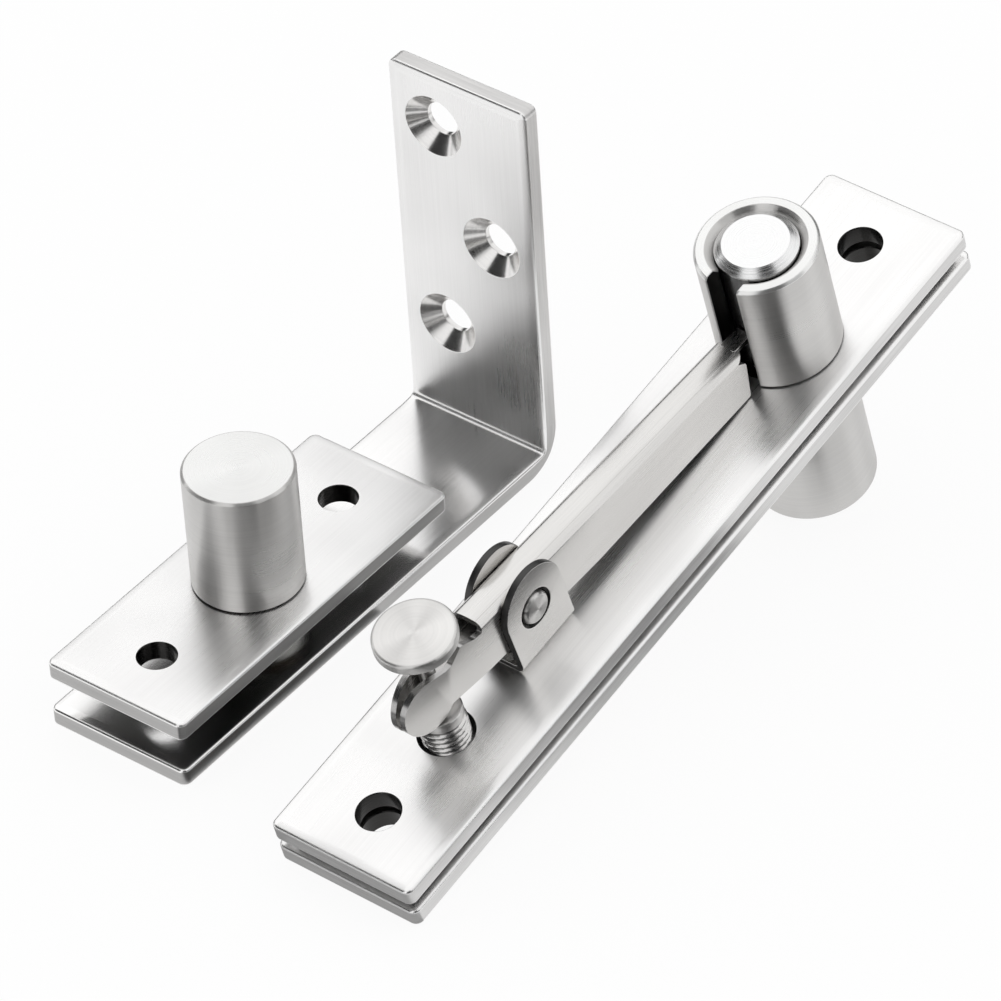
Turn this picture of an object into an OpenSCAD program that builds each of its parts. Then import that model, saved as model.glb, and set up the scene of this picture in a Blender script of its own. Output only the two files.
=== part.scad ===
// Door pivot hinge set: a lower pivot on an angle bracket, and an upper pivot with a retractable pin.
// Row frame: +X runs along the strips, +Z is up, and the origin is on the lower pivot's axis
// at the underside of the bracket. The lower pivot stands on its bracket. The upper pivot lies
// beside it, on the near edge of its door plate and on the rim of its socket barrel.

/* [Strip stock] */
// Width of the strip that every plate is cut from
strip_w = 24; // [20:0.5:30]
// Thickness of the strip
strip_t = 3; // [2.5:0.1:4]
// Radius of the plates' corners seen from above
corner_r = 1.2; // [0.6:0.1:4]

/* [Lower door plate] */
// Length of the lower door plate
lower_plate_l = 59; // [54:1:66]
// Distance between its two screw holes
lower_hole_pitch = 40; // [34:1:44]
// Diameter of its screw holes
lower_hole_d = 5.6; // [4:0.1:6.5]
// Diameter of the lower barrel
lower_barrel_d = 16; // [15:0.1:18]
// Height of the lower barrel above its plate
lower_barrel_h = 19.7; // [18:0.1:24]
// Chamfer on the lower barrel's top edge
lower_barrel_chamfer = 0.5; // [0.2:0.1:1]
// Diameter of the barrel's spigot in the plate
lower_spigot_d = 12; // [11:0.1:14]

/* [Lower pivot stud and bush] */
// Diameter of the fixed pivot stud
stud_d = 8; // [7:0.1:9]
// Height of the stud above the door plate
stud_reach = 13; // [10:0.1:15]
// Diameter of the stud's flush head under the arm
stud_head_d = 11; // [10:0.1:13]
// Wall of the lower bush
lower_bush_wall = 0.95; // [0.7:0.05:1.2]

/* [Thrust bearing] */
// Outside diameter of the thrust bearing
bearing_d = 16; // [15:0.1:18]
// Height of the thrust bearing, which sets the gap between arm and plate
bearing_h = 5.2; // [4.6:0.1:6.4]
// Thickness of each race
race_t = 1.4; // [1.2:0.05:1.6]
// Depth of the ball groove in each race
groove_depth = 0.25; // [0.1:0.01:0.4]
// Number of balls
ball_count = 8; // [6:1:8]
// Thickness of the ball cage
cage_t = 1; // [0.6:0.1:1.2]

/* [Angle bracket] */
// Distance from the pivot axis to the near end of the arm
arm_reach = 29.7; // [26:0.1:36]
// Distance from the pivot axis to the leg's inner face
leg_x = 51.5; // [46:0.1:60]
// Height of the leg above the surface
leg_h = 63.3; // [58:0.1:75]
// Outer radius of the bend
bend_outer_r = 7; // [5:0.1:9]
// Inner radius of the bend
bend_inner_r = 0.8; // [0.4:0.1:1.5]
// Diameter of the holes in the leg
leg_hole_d = 5.2; // [4:0.1:5.5]
// Diameter of the countersinks in the leg
leg_sink_d = 9.8; // [8:0.1:10.5]
// Depth of the straight wall left under each countersink
leg_sink_land = 0.9; // [0.5:0.1:1.2]
// Distance of the highest leg hole from the leg's top
leg_hole_top = 8.8; // [7:0.1:10]
// Height between neighbouring leg holes
leg_hole_pitch = 17.6; // [14:0.1:18]
// Sideways offset of the leg holes from the centre line
leg_hole_offset = 4.5; // [3:0.1:5]

/* [Upper plates] */
// Length of the frame plate and of the upper door plate
upper_plate_l = 130; // [126:1:140]
// Distance of the fixing holes from the plates' ends
upper_hole_inset = 9; // [7:0.1:10]
// Diameter of the fixing holes in the frame plate
frame_hole_d = 6.3; // [4:0.1:7]
// Diameter of the fixing holes in the upper door plate
door_hole_d = 6.7; // [4:0.1:7.5]
// Gap between the two upper plates, filled by a spacer washer
upper_gap = 1.5; // [1.2:0.1:2]
// Distance of the pin axis from the plates' far end
pin_inset = 28.2; // [26:0.1:32]

/* [Sliding pin] */
// Diameter of the sliding pin
pin_d = 12; // [11:0.1:12.2]
// Height of the pin's face over the barrel's rim
pin_proud = 0.6; // [0.2:0.1:1.5]
// Height of the cone on the pin's top
pin_cone_h = 1; // [0.5:0.1:1.5]
// Diameter of the pin's flat face
pin_face_d = 9.6; // [8:0.1:10.5]
// Radial running clearance of the pin
pin_clearance = 0.05; // [0.03:0.01:0.08]
// Distance that the pin is drawn up
pin_travel = 11.43; // [10:0.01:12]
// Depth of the drawn pin's tip below the spacer's top
pin_tip_rest = 1.07; // [0.5:0.01:1.4]

/* [Slotted barrel] */
// Diameter of the slotted barrel
slot_barrel_d = 17.7; // [17:0.1:20]
// Height of the slotted barrel above its plate
slot_barrel_h = 20.3; // [18:0.1:24]
// Width of the lever slot in the barrel
slot_w = 5.1; // [4:0.1:5.4]
// Diameter of the barrel's mouth at its rim
mouth_d = 14.4; // [13:0.1:15]
// Depth of the cone in the barrel's mouth
mouth_depth = 1.2; // [0.5:0.1:2]
// Diameter of the spigots of both upper barrels in their plates
upper_spigot_d = 15; // [14.4:0.1:16]
// Chamfer on the outer edges of the upper barrels
upper_barrel_chamfer = 0.4; // [0.2:0.1:1]

/* [Socket barrel] */
// Diameter of the socket barrel
socket_d = 17.9; // [17:0.1:20]
// Length of the socket barrel below its plate
socket_l = 21.5; // [19:0.1:25]
// Depth of the socket bush below the door plate's top
socket_bush_l = 14; // [12.2:0.1:16]
// Wall of the socket bush
socket_bush_wall = 0.85; // [0.7:0.05:1]
// Outside diameter of the spacer washer
spacer_d = 20; // [18:0.1:22]

/* [Adjusting screw] */
// Distance of the screw axis from the lever's rivet
screw_back = 18.3; // [17:0.1:20]
// Diameter of the screw's thread
screw_d = 7; // [6:0.1:7.4]
// Radial clearance of the screw in the plate
screw_clearance = 0.05; // [0.03:0.01:0.1]
// Diameter of the chamfer round the tapped hole
screw_chamfer_d = 8.3; // [8:0.1:10]
// Height of the head's top above the plate
screw_top = 22; // [20:0.1:24]
// Diameter of the head
screw_head_d = 11.9; // [10:0.1:13]
// Thickness of the head
screw_head_t = 1.7; // [1.2:0.1:2.5]
// Diameter of the neck that the fork holds
screw_neck_d = 2.4; // [2:0.1:2.5]
// Height of the threaded shank above the plate
shank_top = 3.8; // [3:0.1:4]
// Height that the tip stays inside the plate's underside
tip_recess = 0.1; // [0:0.1:1]
// Diameter of the loose collar under the fork
collar_d = 6.6; // [5:0.1:6.8]
// Radial clearance of the screw's hole in the door plate
screw_access_gap = 0.7; // [0.4:0.1:1.5]

/* [Lever] */
// Outside width of the lever's channel
lever_w = 5; // [4.6:0.1:5]
// Thickness of the lever's sheet
lever_t = 0.9; // [0.7:0.05:1]
// Radius of the channel's rounded shoulders
lever_shoulder_r = 1.2; // [1:0.1:1.6]
// Angle by which the near end of the lever stands higher
lever_rise = 5.93; // [5:0.01:6.2]
// Distance of the rivet from the plates' near end
rivet_x = 42.5; // [41.5:0.1:43]
// Height of the rivet above the plate
rivet_z = 8.8; // [8.6:0.1:9.5]
// Height of the channel's top above the rivet
lever_top = 5.05; // [4.8:0.05:5.4]
// Gap between the channel's end and the slotted barrel
lever_end_gap = 1.2; // [0.9:0.1:3]
// Length of the channel's top from the rivet to the fork
lever_near = 9.6; // [7.5:0.1:11]
// Depth of the cheeks below the rivet at the barrel
cheek_far = 3.5; // [3:0.1:3.6]
// Depth of the cheeks below the rivet at their deepest
cheek_belly = 4.7; // [4.2:0.1:5]
// Place of the deepest stretch along the lever
cheek_belly_at = 15; // [10:1:20]
// Depth of the cheeks below the rivet near the fork
cheek_near = 4.2; // [3.9:0.1:4.3]
// Width of the tongue that lifts the pin
tongue_w = 2.6; // [2:0.1:3]
// Length of the tongue inside the pin
tongue_bite = 3.3; // [2.5:0.1:4]

/* [Fork] */
// Distance from the rivet to the bend of the fork
fork_bend_at = 17.5; // [17:0.1:17.8]
// Angle by which each lobe leans inwards
fork_lean = 9; // [7:0.5:9]
// Distance from the rivet to the centre of the lobes
lobe_at = 21.2; // [20.8:0.1:21.8]
// Depth of the lobes' centre below the rivet's level
lobe_drop = 1; // [0.8:0.1:1.1]
// Radius of the lobes
lobe_r = 4.4; // [4:0.1:4.5]
// Height of the cheeks' upper edge at the web's end
fork_top_web = 3.7; // [3.4:0.1:3.8]
// Height of the cheeks' upper edge at the bend
fork_top_bend = 3; // [2.5:0.1:3.4]

/* [Clevis and rivet] */
// Thickness of the clevis sheet
clevis_t = 1.1; // [0.9:0.05:1.5]
// Clearance on each side of the lever
clevis_gap = 0.1; // [0.05:0.05:0.3]
// Radius of the clevis ears
ear_r = 5.9; // [5.2:0.1:6.4]
// Height of the centre of the ears' round top
ear_z = 10; // [9.5:0.1:10.5]
// Length of the clevis foot towards the barrel
foot_far = 6.5; // [6:0.1:8]
// Length of the clevis foot towards the fork
foot_near = 5.2; // [4.6:0.1:6]
// Diameter of the lever rivet
rivet_d = 5; // [4:0.1:5.2]
// Height of each rivet end over its ear
rivet_proud = 0.45; // [0.3:0.05:0.8]
// Diameter of the countersinks in the ears
ear_sink_d = 6.2; // [5.8:0.1:7]
// Diameter of the small rivets that hold the clevis
foot_rivet_d = 2.4; // [2:0.1:2.6]
// Diameter of the flush heads of those rivets
foot_rivet_head_d = 4; // [3.4:0.1:4.2]
// Distance of the small rivets from the lever rivet
foot_rivet_offset = 3.2; // [2.8:0.1:3.4]

/* [Where the upper pivot lies] */
// Place of the upper plates' near end along X
upper_x = -34.9; // [-38:0.1:-30]
// Angle by which its far end points away from the lower pivot
upper_yaw = 1; // [0:0.1:3]
// Free space between it and the corners of the turning lower plate
turn_gap = 0.2; // [0.1:0.1:5]

/* [Hidden] */
$fn = 72;
eps = 0.01;
past = 1;
run_gap = 0.05;
seat_gap = 0.3;
neck_gap = 0.15;
fork_gap = 0.2;
notch_side = 0.3;

// Lower pivot, by height
arm_top = strip_t;
plate_under = arm_top + bearing_h;
plate_top = plate_under + strip_t;
lower_half = lower_plate_l / 2;
stud_top = plate_top + stud_reach;
stud_head_h = (stud_head_d - stud_d) / 2;
bush_id = stud_d + 2 * run_gap;
bush_od = bush_id + 2 * lower_bush_wall;
bush_top = stud_top + seat_gap;
leg_outer_x = leg_x + strip_t;

// Thrust bearing
race_gap = bearing_h - 2 * race_t;
ball_d = race_gap + 2 * groove_depth - 2 * run_gap;
ball_ring_r = (bearing_d + stud_d) / 4;
ball_z = arm_top + bearing_h / 2;
cage_wall = 0.4;

// Upper pivot, in its own frame: x from the near end, z from the frame plate's top
pin_x = upper_plate_l - pin_inset;
door_top = -strip_t - upper_gap;
door_under = door_top - strip_t;
socket_end = door_under - socket_l;
tilt = atan2(socket_l, pin_x - socket_d / 2);
corner_sweep = norm([lower_half - corner_r, strip_w / 2 - corner_r]) + corner_r;
upper_y = (strip_w / 2 + corner_sweep + turn_gap + upper_x * sin(upper_yaw)) / cos(upper_yaw);
upper_z = -door_under * cos(tilt);
bore_d = pin_d + 2 * pin_clearance;
pin_top = slot_barrel_h + pin_proud;
pin_depth = strip_t + pin_tip_rest + pin_travel;
socket_bore_d = bore_d + 2 * socket_bush_wall;
socket_bush_end = door_top - socket_bush_l;

// Screw, fork and rivet
screw_x = rivet_x - screw_back;
screw_hole_d = screw_d + 2 * screw_clearance;
screw_chamfer_h = (screw_chamfer_d - screw_hole_d) / 2;
screw_tip = -strip_t + tip_recess;
head_under = screw_top - screw_head_t;
collar_top = rivet_z - (lobe_drop + lobe_r) * cos(lever_rise) + lobe_at * sin(lever_rise)
    - (1 - cos(lever_rise)) * lobe_r - fork_gap;
neck_hole_d = screw_neck_d + 2 * neck_gap;
rivet_hole_d = rivet_d + 2 * run_gap;
fork_end = lobe_at + lobe_r + run_gap;
arm_l = pin_x - rivet_x;
lever_far = (arm_l - slot_barrel_d / 2 - lever_end_gap) / cos(lever_rise);
tongue_reach = (arm_l - pin_d / 2 + tongue_bite) / cos(lever_rise);
ear_inner = lever_w / 2 + clevis_gap;
ear_outer = ear_inner + clevis_t;
ear_sink_h = (ear_sink_d - rivet_d) / 2;
foot_rivet_head_h = (foot_rivet_head_d - foot_rivet_d) / 2;

// Notch in the pin for the lever's tongue
tongue_mid_x = rivet_x + tongue_reach * cos(lever_rise);
tongue_high = rivet_z - (pin_x - pin_d / 2 - rivet_x) * sin(lever_rise)
    + lever_top * cos(lever_rise);
tongue_low = rivet_z - tongue_reach * sin(lever_rise)
    + (lever_top - lever_t) * cos(lever_rise);
notch_end_x = tongue_mid_x + lever_top * sin(lever_rise) + notch_side;

// Places its children in the upper pivot's own frame
module in_upper() {
    translate([upper_x, -upper_y, upper_z])
        rotate([0, 0, -upper_yaw]) rotate([0, -tilt, 0]) children();
}

// Places its children in the lever's frame: the rivet is the origin, x runs to the barrel
module in_lever() {
    in_upper() translate([rivet_x, 0, rivet_z]) rotate([0, lever_rise, 0]) children();
}

// A round bar or hole from z0 to z1
module bar(d, z0, z1) {
    translate([0, 0, z0]) cylinder(d = d, h = z1 - z0);
}

// A cone from diameter d0 at z0 to diameter d1 at z1
module cone(d0, d1, z0, z1) {
    translate([0, 0, z0]) cylinder(d1 = d0, d2 = d1, h = z1 - z0);
}

// A flat outline from x0 to x1 and y0 to y1 with round corners
module rounded_outline(x0, x1, y0, y1, r) {
    translate([x0 + r, y0]) square([x1 - x0 - 2 * r, y1 - y0]);
    translate([x0, y0 + r]) square([x1 - x0, y1 - y0 - 2 * r]);
    for (x = [x0 + r, x1 - r], y = [y0 + r, y1 - r])
        translate([x, y]) circle(r = r);
}

// A strip from x0 to x1, lying on z0
module strip(x0, x1, z0) {
    translate([0, 0, z0])
        linear_extrude(height = strip_t)
            rounded_outline(x0, x1, -strip_w / 2, strip_w / 2, corner_r);
}

// The bracket seen from the side: arm, bend and leg
module bracket_side() {
    arm_x = -arm_reach - past;
    r = bend_outer_r;
    difference() {
        union() {
            translate([arm_x, 0]) square([leg_outer_x - r - arm_x, leg_h]);
            translate([arm_x, r]) square([leg_outer_x - arm_x, leg_h - r]);
            translate([leg_outer_x - r, r]) circle(r = r);
        }
        translate([arm_x - past, arm_top])
            square([leg_x - bend_inner_r - arm_x + past, leg_h]);
        translate([arm_x - past, arm_top + bend_inner_r])
            square([leg_x - arm_x + past, leg_h]);
        translate([leg_x - bend_inner_r, arm_top + bend_inner_r]) circle(r = bend_inner_r);
    }
}

// Makes each leg hole's shape at its place, pointing along +X from the inner face
module at_leg_holes() {
    for (i = [0 : 2])
        translate([leg_x, (i == 1 ? -1 : 1) * leg_hole_offset, leg_h - leg_hole_top - i * leg_hole_pitch])
            rotate([0, 90, 0]) children();
}

module floor_bracket() {
    half = strip_w / 2;
    color("gainsboro")
    difference() {
        intersection() {
            rotate([90, 0, 0])
                linear_extrude(height = strip_w, center = true) bracket_side();
            translate([0, 0, -past])
                linear_extrude(height = leg_h + 2 * past)
                    rounded_outline(-arm_reach, leg_outer_x + strip_w, -half, half, corner_r);
            rotate([90, 0, 90]) translate([0, 0, -arm_reach - past])
                linear_extrude(height = arm_reach + leg_outer_x + 2 * past)
                    rounded_outline(-half, half, -strip_w, leg_h, corner_r);
        }
        bar(stud_d, -past, arm_top + past);
        cone(stud_head_d, stud_d, 0, stud_head_h);
        at_leg_holes() bar(leg_hole_d, -past, strip_t + past);
        at_leg_holes() cone(leg_sink_d, leg_hole_d, 0, strip_t - leg_sink_land);
    }
}

module pivot_stud() {
    dome = 0.8;
    color("silver") {
        cone(stud_head_d, stud_d, 0, stud_head_h);
        bar(stud_d, stud_head_h, stud_top - dome);
        cone(stud_d, stud_d - 2 * dome, stud_top - dome, stud_top);
    }
}

// One race, with its ball groove towards the cage
module race(z0, z1, bore) {
    difference() {
        bar(bearing_d, z0, z1);
        bar(bore, z0 - past, z1 + past);
        translate([0, 0, ball_z])
            rotate_extrude() translate([ball_ring_r, 0]) circle(d = ball_d + 2 * run_gap);
    }
}

module thrust_race_lower() {
    color("lightgray") race(arm_top, arm_top + race_t, stud_d);
}

module thrust_race_upper() {
    color("lightgray") race(plate_under - race_t, plate_under, bush_id);
}

// Makes its child once for each ball
module at_balls() {
    for (i = [0 : ball_count - 1])
        rotate([0, 0, i * 360 / ball_count]) translate([ball_ring_r, 0, ball_z]) children();
}

module thrust_cage() {
    inner = 2 * ball_ring_r - ball_d - 2 * cage_wall;
    outer = 2 * ball_ring_r + ball_d + 2 * cage_wall;
    color("darkgoldenrod")
    difference() {
        bar(outer, ball_z - cage_t / 2, ball_z + cage_t / 2);
        bar(inner, ball_z - cage_t, ball_z + cage_t);
        at_balls() bar(ball_d + 2 * run_gap, -cage_t, cage_t);
    }
}

module thrust_balls() {
    color("whitesmoke") at_balls() sphere(d = ball_d);
}

module lower_door_plate() {
    color("gainsboro")
    difference() {
        strip(-lower_half, lower_half, plate_under);
        bar(lower_spigot_d, plate_under - past, plate_top + past);
        for (x = [-1, 1] * lower_hole_pitch / 2)
            translate([x, 0, 0]) bar(lower_hole_d, plate_under - past, plate_top + past);
    }
}

module lower_barrel() {
    top = plate_top + lower_barrel_h;
    c = lower_barrel_chamfer;
    color("silver")
    difference() {
        union() {
            bar(lower_spigot_d, plate_under, plate_top);
            bar(lower_barrel_d, plate_top, top - c);
            cone(lower_barrel_d, lower_barrel_d - 2 * c, top - c, top);
        }
        bar(bush_od, plate_under - past, bush_top);
    }
}

module lower_bush() {
    color("peru")
    difference() {
        bar(bush_od, plate_under, bush_top);
        bar(bush_id, plate_under - past, bush_top + past);
    }
}

// Fixing holes at both ends of an upper plate
module at_upper_holes() {
    for (x = [upper_hole_inset, upper_plate_l - upper_hole_inset])
        translate([x, 0, 0]) children();
}

module frame_plate() {
    color("gainsboro")
    in_upper() difference() {
        strip(0, upper_plate_l, -strip_t);
        at_upper_holes() bar(frame_hole_d, -strip_t - past, past);
        translate([pin_x, 0, 0]) bar(upper_spigot_d, -strip_t - past, past);
        translate([screw_x, 0, 0]) bar(screw_hole_d, -strip_t - past, past);
        translate([screw_x, 0, 0]) cone(screw_hole_d, screw_chamfer_d, -screw_chamfer_h, 0);
        at_foot_rivets() bar(foot_rivet_d, -strip_t - past, past);
        at_foot_rivets() cone(foot_rivet_head_d, foot_rivet_d, -strip_t, -strip_t + foot_rivet_head_h);
    }
}

module slotted_barrel() {
    c = upper_barrel_chamfer;
    color("silver")
    in_upper() translate([pin_x, 0, 0]) difference() {
        union() {
            bar(upper_spigot_d, -strip_t, 0);
            bar(slot_barrel_d, 0, slot_barrel_h - c);
            cone(slot_barrel_d, slot_barrel_d - 2 * c, slot_barrel_h - c, slot_barrel_h);
        }
        bar(bore_d, -strip_t - past, slot_barrel_h + past);
        cone(bore_d, mouth_d, slot_barrel_h - mouth_depth, slot_barrel_h);
        translate([-slot_barrel_d, -slot_w / 2, 0]) cube([slot_barrel_d, slot_w, slot_barrel_h + past]);
    }
}

module sliding_pin() {
    edge = 0.8;
    color("silver")
    in_upper() difference() {
        translate([pin_x, 0, 0]) {
            cone(pin_d - 2 * edge, pin_d, -pin_depth, -pin_depth + edge);
            bar(pin_d, -pin_depth + edge, pin_top - pin_cone_h);
            cone(pin_d, pin_face_d, pin_top - pin_cone_h, pin_top);
        }
        translate([pin_x - pin_d, -tongue_w / 2 - notch_side, tongue_low - notch_side])
            cube([
                notch_end_x - pin_x + pin_d,
                tongue_w + 2 * notch_side,
                tongue_high - tongue_low + 2 * notch_side
            ]);
    }
}

// The lever from the side, x along it and y up, without the channel's rounded top
module lever_side() {
    top = lever_top + past;
    lobe_edge = sqrt(lobe_r * lobe_r - pow(lobe_at - fork_bend_at, 2));
    translate([-lobe_at, -lobe_drop]) circle(r = lobe_r);
    polygon([
        [lever_far, top], [-lever_near, top], [-lever_near, fork_top_web],
        [-fork_bend_at, fork_top_bend], [-lobe_at, lobe_r - lobe_drop],
        [-lobe_at, -lobe_drop], [-fork_bend_at, -lobe_drop - lobe_edge],
        [-lever_near, -cheek_near], [cheek_belly_at, -cheek_belly], [lever_far, -cheek_far],
    ]);
}

// The lever from above, moved in by inset from its outer faces, which lean inwards at the fork
module lever_plan(inset) {
    half = lever_w / 2 - inset;
    far = lever_far + past;
    bend = fork_bend_at - inset * tan(fork_lean / 2);
    half_end = half - (fork_end - bend) * tan(fork_lean);
    polygon([
        [far, -half], [far, half], [-bend, half],
        [-fork_end, half_end], [-fork_end, -half_end], [-bend, -half],
    ]);
}

// The channel's section, moved in by inset from its outer faces: open below, round shoulders
module channel_section(inset) {
    half = lever_w / 2 - inset;
    top = lever_top - inset;
    r = lever_shoulder_r - inset;
    low = -2 * lever_w;
    translate([-half, low]) square([2 * half, top - r - low]);
    translate([r - half, low]) square([2 * half - 2 * r, top - low]);
    for (s = [-1, 1]) translate([s * (half - r), top - r]) circle(r = r);
}

// The solid bounded by the lever's faces moved in by inset
module lever_block(inset) {
    intersection() {
        translate([0, 0, -3 * lever_w])
            linear_extrude(height = 6 * lever_w) lever_plan(inset);
        rotate([90, 0, 90]) translate([0, 0, -fork_end - past])
            linear_extrude(height = fork_end + lever_far + 3 * past) channel_section(inset);
    }
}

module lever() {
    color("lightgray")
    in_lever() difference() {
        union() {
            difference() {
                intersection() {
                    lever_block(0);
                    rotate([90, 0, 0]) linear_extrude(height = 2 * lever_w, center = true) lever_side();
                }
                lever_block(lever_t);
            }
            translate([lever_far - past, -tongue_w / 2, lever_top - lever_t])
                cube([tongue_reach - lever_far + past, tongue_w, lever_t]);
        }
        rotate([90, 0, 0]) cylinder(d = rivet_hole_d, h = 2 * lever_w, center = true);
    }
}

// Outline of a clevis ear: x along the plate from the lever rivet, y up from the plate
module ear_side() {
    translate([0, ear_z]) circle(r = ear_r);
    polygon([[-ear_r, ear_z], [-foot_near, 0], [foot_far, 0], [ear_r, ear_z]]);
}

// Places its children on the feet of the clevis, where the small rivets are
module at_foot_rivets() {
    for (s = [-1, 1])
        translate([rivet_x + s * foot_rivet_offset, 0, 0]) children();
}

module clevis() {
    color("lightgray")
    in_upper() difference() {
        union() {
            for (s = [-1, 1])
                translate([rivet_x, s * (ear_inner + clevis_t / 2), 0]) rotate([90, 0, 0])
                    linear_extrude(height = clevis_t, center = true) ear_side();
            translate([rivet_x - foot_near, -ear_inner, 0])
                cube([foot_near + foot_far, 2 * ear_inner, clevis_t]);
        }
        translate([rivet_x, 0, rivet_z]) rotate([90, 0, 0])
            cylinder(d = rivet_d, h = 3 * ear_outer, center = true);
        for (s = [0, 180])
            translate([rivet_x, 0, rivet_z]) rotate([90, 0, s])
                cone(rivet_d, ear_sink_d, ear_outer - ear_sink_h, ear_outer);
        at_foot_rivets() bar(foot_rivet_d, -past, clevis_t + past);
    }
}

module clevis_rivets() {
    head_h = 0.6;
    color("silver")
    in_upper() at_foot_rivets() {
        cone(foot_rivet_head_d, foot_rivet_d, -strip_t, -strip_t + foot_rivet_head_h);
        bar(foot_rivet_d, -strip_t + foot_rivet_head_h, clevis_t);
        cone(foot_rivet_head_d, foot_rivet_d, clevis_t, clevis_t + head_h);
    }
}

module lever_rivet() {
    edge = 0.3;
    reach = ear_outer + rivet_proud;
    color("silver")
    in_upper() translate([rivet_x, 0, rivet_z]) rotate([90, 0, 0]) {
        bar(rivet_d, -reach + edge, reach - edge);
        cone(rivet_d, rivet_d - 2 * edge, reach - edge, reach);
        cone(rivet_d - 2 * edge, rivet_d, -reach, -reach + edge);
    }
}

module adjusting_screw() {
    edge = 0.5;
    slot_depth = 1;
    slot_w = 1.2;
    color("silver")
    in_upper() translate([screw_x, 0, 0]) difference() {
        union() {
            cone(screw_d - 2 * edge, screw_d, screw_tip, screw_tip + edge);
            bar(screw_d, screw_tip + edge, shank_top);
            bar(screw_neck_d, shank_top, head_under);
            cone(screw_head_d - 2 * edge, screw_head_d, head_under, head_under + edge);
            bar(screw_head_d, head_under + edge, screw_top - edge);
            cone(screw_head_d, screw_head_d - 2 * edge, screw_top - edge, screw_top);
        }
        translate([-screw_d, -slot_w / 2, screw_tip - past]) cube([2 * screw_d, slot_w, slot_depth + past]);
    }
}

module thrust_collar() {
    color("silver")
    in_upper() translate([screw_x, 0, 0]) difference() {
        bar(collar_d, shank_top, collar_top);
        bar(neck_hole_d, shank_top - past, collar_top + past);
    }
}

module upper_door_plate() {
    color("gainsboro")
    in_upper() difference() {
        strip(0, upper_plate_l, door_under);
        at_upper_holes() bar(door_hole_d, door_under - past, door_top + past);
        translate([pin_x, 0, 0]) bar(upper_spigot_d, door_under - past, door_top + past);
        translate([screw_x, 0, 0])
            bar(screw_d + 2 * screw_access_gap, door_under - past, door_top + past);
    }
}

module socket_barrel() {
    c = upper_barrel_chamfer;
    color("silver")
    in_upper() translate([pin_x, 0, 0]) difference() {
        union() {
            bar(upper_spigot_d, door_under, door_top);
            bar(socket_d, socket_end, door_under);
        }
        bar(socket_bore_d, socket_bush_end, door_top + past);
        bar(bore_d - 2 * c, socket_bush_end - c, socket_bush_end + eps);
    }
}

module socket_bush() {
    color("peru")
    in_upper() translate([pin_x, 0, 0]) difference() {
        bar(socket_bore_d, socket_bush_end, door_top);
        bar(bore_d, socket_bush_end - past, door_top + past);
    }
}

module spacer_washer() {
    color("peru")
    in_upper() translate([pin_x, 0, 0]) difference() {
        bar(spacer_d, door_top, -strip_t - run_gap);
        bar(bore_d + 2 * seat_gap, door_top - past, past);
    }
}

floor_bracket();
pivot_stud();
thrust_race_lower();
thrust_cage();
thrust_balls();
thrust_race_upper();
lower_door_plate();
lower_barrel();
lower_bush();
frame_plate();
slotted_barrel();
sliding_pin();
clevis();
clevis_rivets();
lever();
lever_rivet();
adjusting_screw();
thrust_collar();
upper_door_plate();
socket_barrel();
socket_bush();
spacer_washer();
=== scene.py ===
"""Dresses the pivot hinge: brushed strips, turned barrels, a threaded screw, a pressed lever and clevis.

Every shape is worked out in millimetres in the frame of its own assembly, then placed in metres in the
row frame. The lower pivot stands on its bracket, and the upper pivot lies beside it, tilted on its socket.
"""

import logging
import math
from dataclasses import dataclass, field
from enum import Enum, IntEnum
from typing import Callable, Optional, Sequence

import bmesh
import bpy
import numpy as np
from mathutils import Matrix, Vector
from mathutils.geometry import delaunay_2d_cdt


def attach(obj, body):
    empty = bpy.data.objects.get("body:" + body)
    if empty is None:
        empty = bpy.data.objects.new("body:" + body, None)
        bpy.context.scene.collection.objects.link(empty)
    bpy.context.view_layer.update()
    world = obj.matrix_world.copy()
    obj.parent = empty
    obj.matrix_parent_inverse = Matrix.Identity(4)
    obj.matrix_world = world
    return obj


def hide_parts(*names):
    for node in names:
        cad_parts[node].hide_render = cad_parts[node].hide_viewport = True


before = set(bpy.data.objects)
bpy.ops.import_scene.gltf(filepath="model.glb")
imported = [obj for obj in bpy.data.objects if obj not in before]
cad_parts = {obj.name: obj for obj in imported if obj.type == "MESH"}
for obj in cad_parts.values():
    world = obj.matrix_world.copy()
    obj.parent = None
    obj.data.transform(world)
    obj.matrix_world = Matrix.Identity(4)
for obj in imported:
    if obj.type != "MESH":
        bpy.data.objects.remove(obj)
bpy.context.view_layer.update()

LOG = logging.getLogger("pivot_hinge")
UV_NAME = "grain"

MM = 0.001
FULL_TURN = 2 * math.pi
TINY = 1e-6
WELD = 2e-7
SMOOTH_ANGLE = math.radians(33)
MIN_ROUND = 0.05
ROLL_SLOPE = math.tan(math.radians(7))
HOLE_CHAMFER = 0.12
EDGE_STEPS = 5
ARC_STEPS = 40
BORE_STEPS = 48
NOISE_SPAN = (0.3, 0.7)


class Body(Enum):
    """The bodies of the frame that the new pieces ride on."""

    FRAME_SIDE = "frame_side"
    LOWER_LEAF = "lower_leaf"
    UPPER_LEAF = "upper_leaf"
    LEVER = "lever"
    COLLAR = "screw_carrier"
    SCREW = "screw"


class Zone(IntEnum):
    """The parts of a piece that differ in finish, numbered in the order of its materials."""

    FACE = 0
    SIDE = 1
    # Hole and slot walls; where they take the near-black bore steel, their dark colour is painted shade.
    BORE = 2
    # Faces out of sight at rest; on the long strips and the small plate their dark colour is painted shade,
    # on the bracket's arm they take a glossier steel.
    SHADE = 3


class Thread(IntEnum):
    """The two finishes of the screw's thread, which follow those of its head and neck: the crests, and the
    roots, which are darkened as painted shade.
    """

    CREST = 2
    SHADED_ROOT = 3


class Slot(Enum):
    """Names of the record's material slots; nothing in this script uses them."""

    STRIP = "strip_steel"
    TURNED = "turned_steel"
    PRESSED = "pressed_steel"


# Curves and outlines


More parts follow.
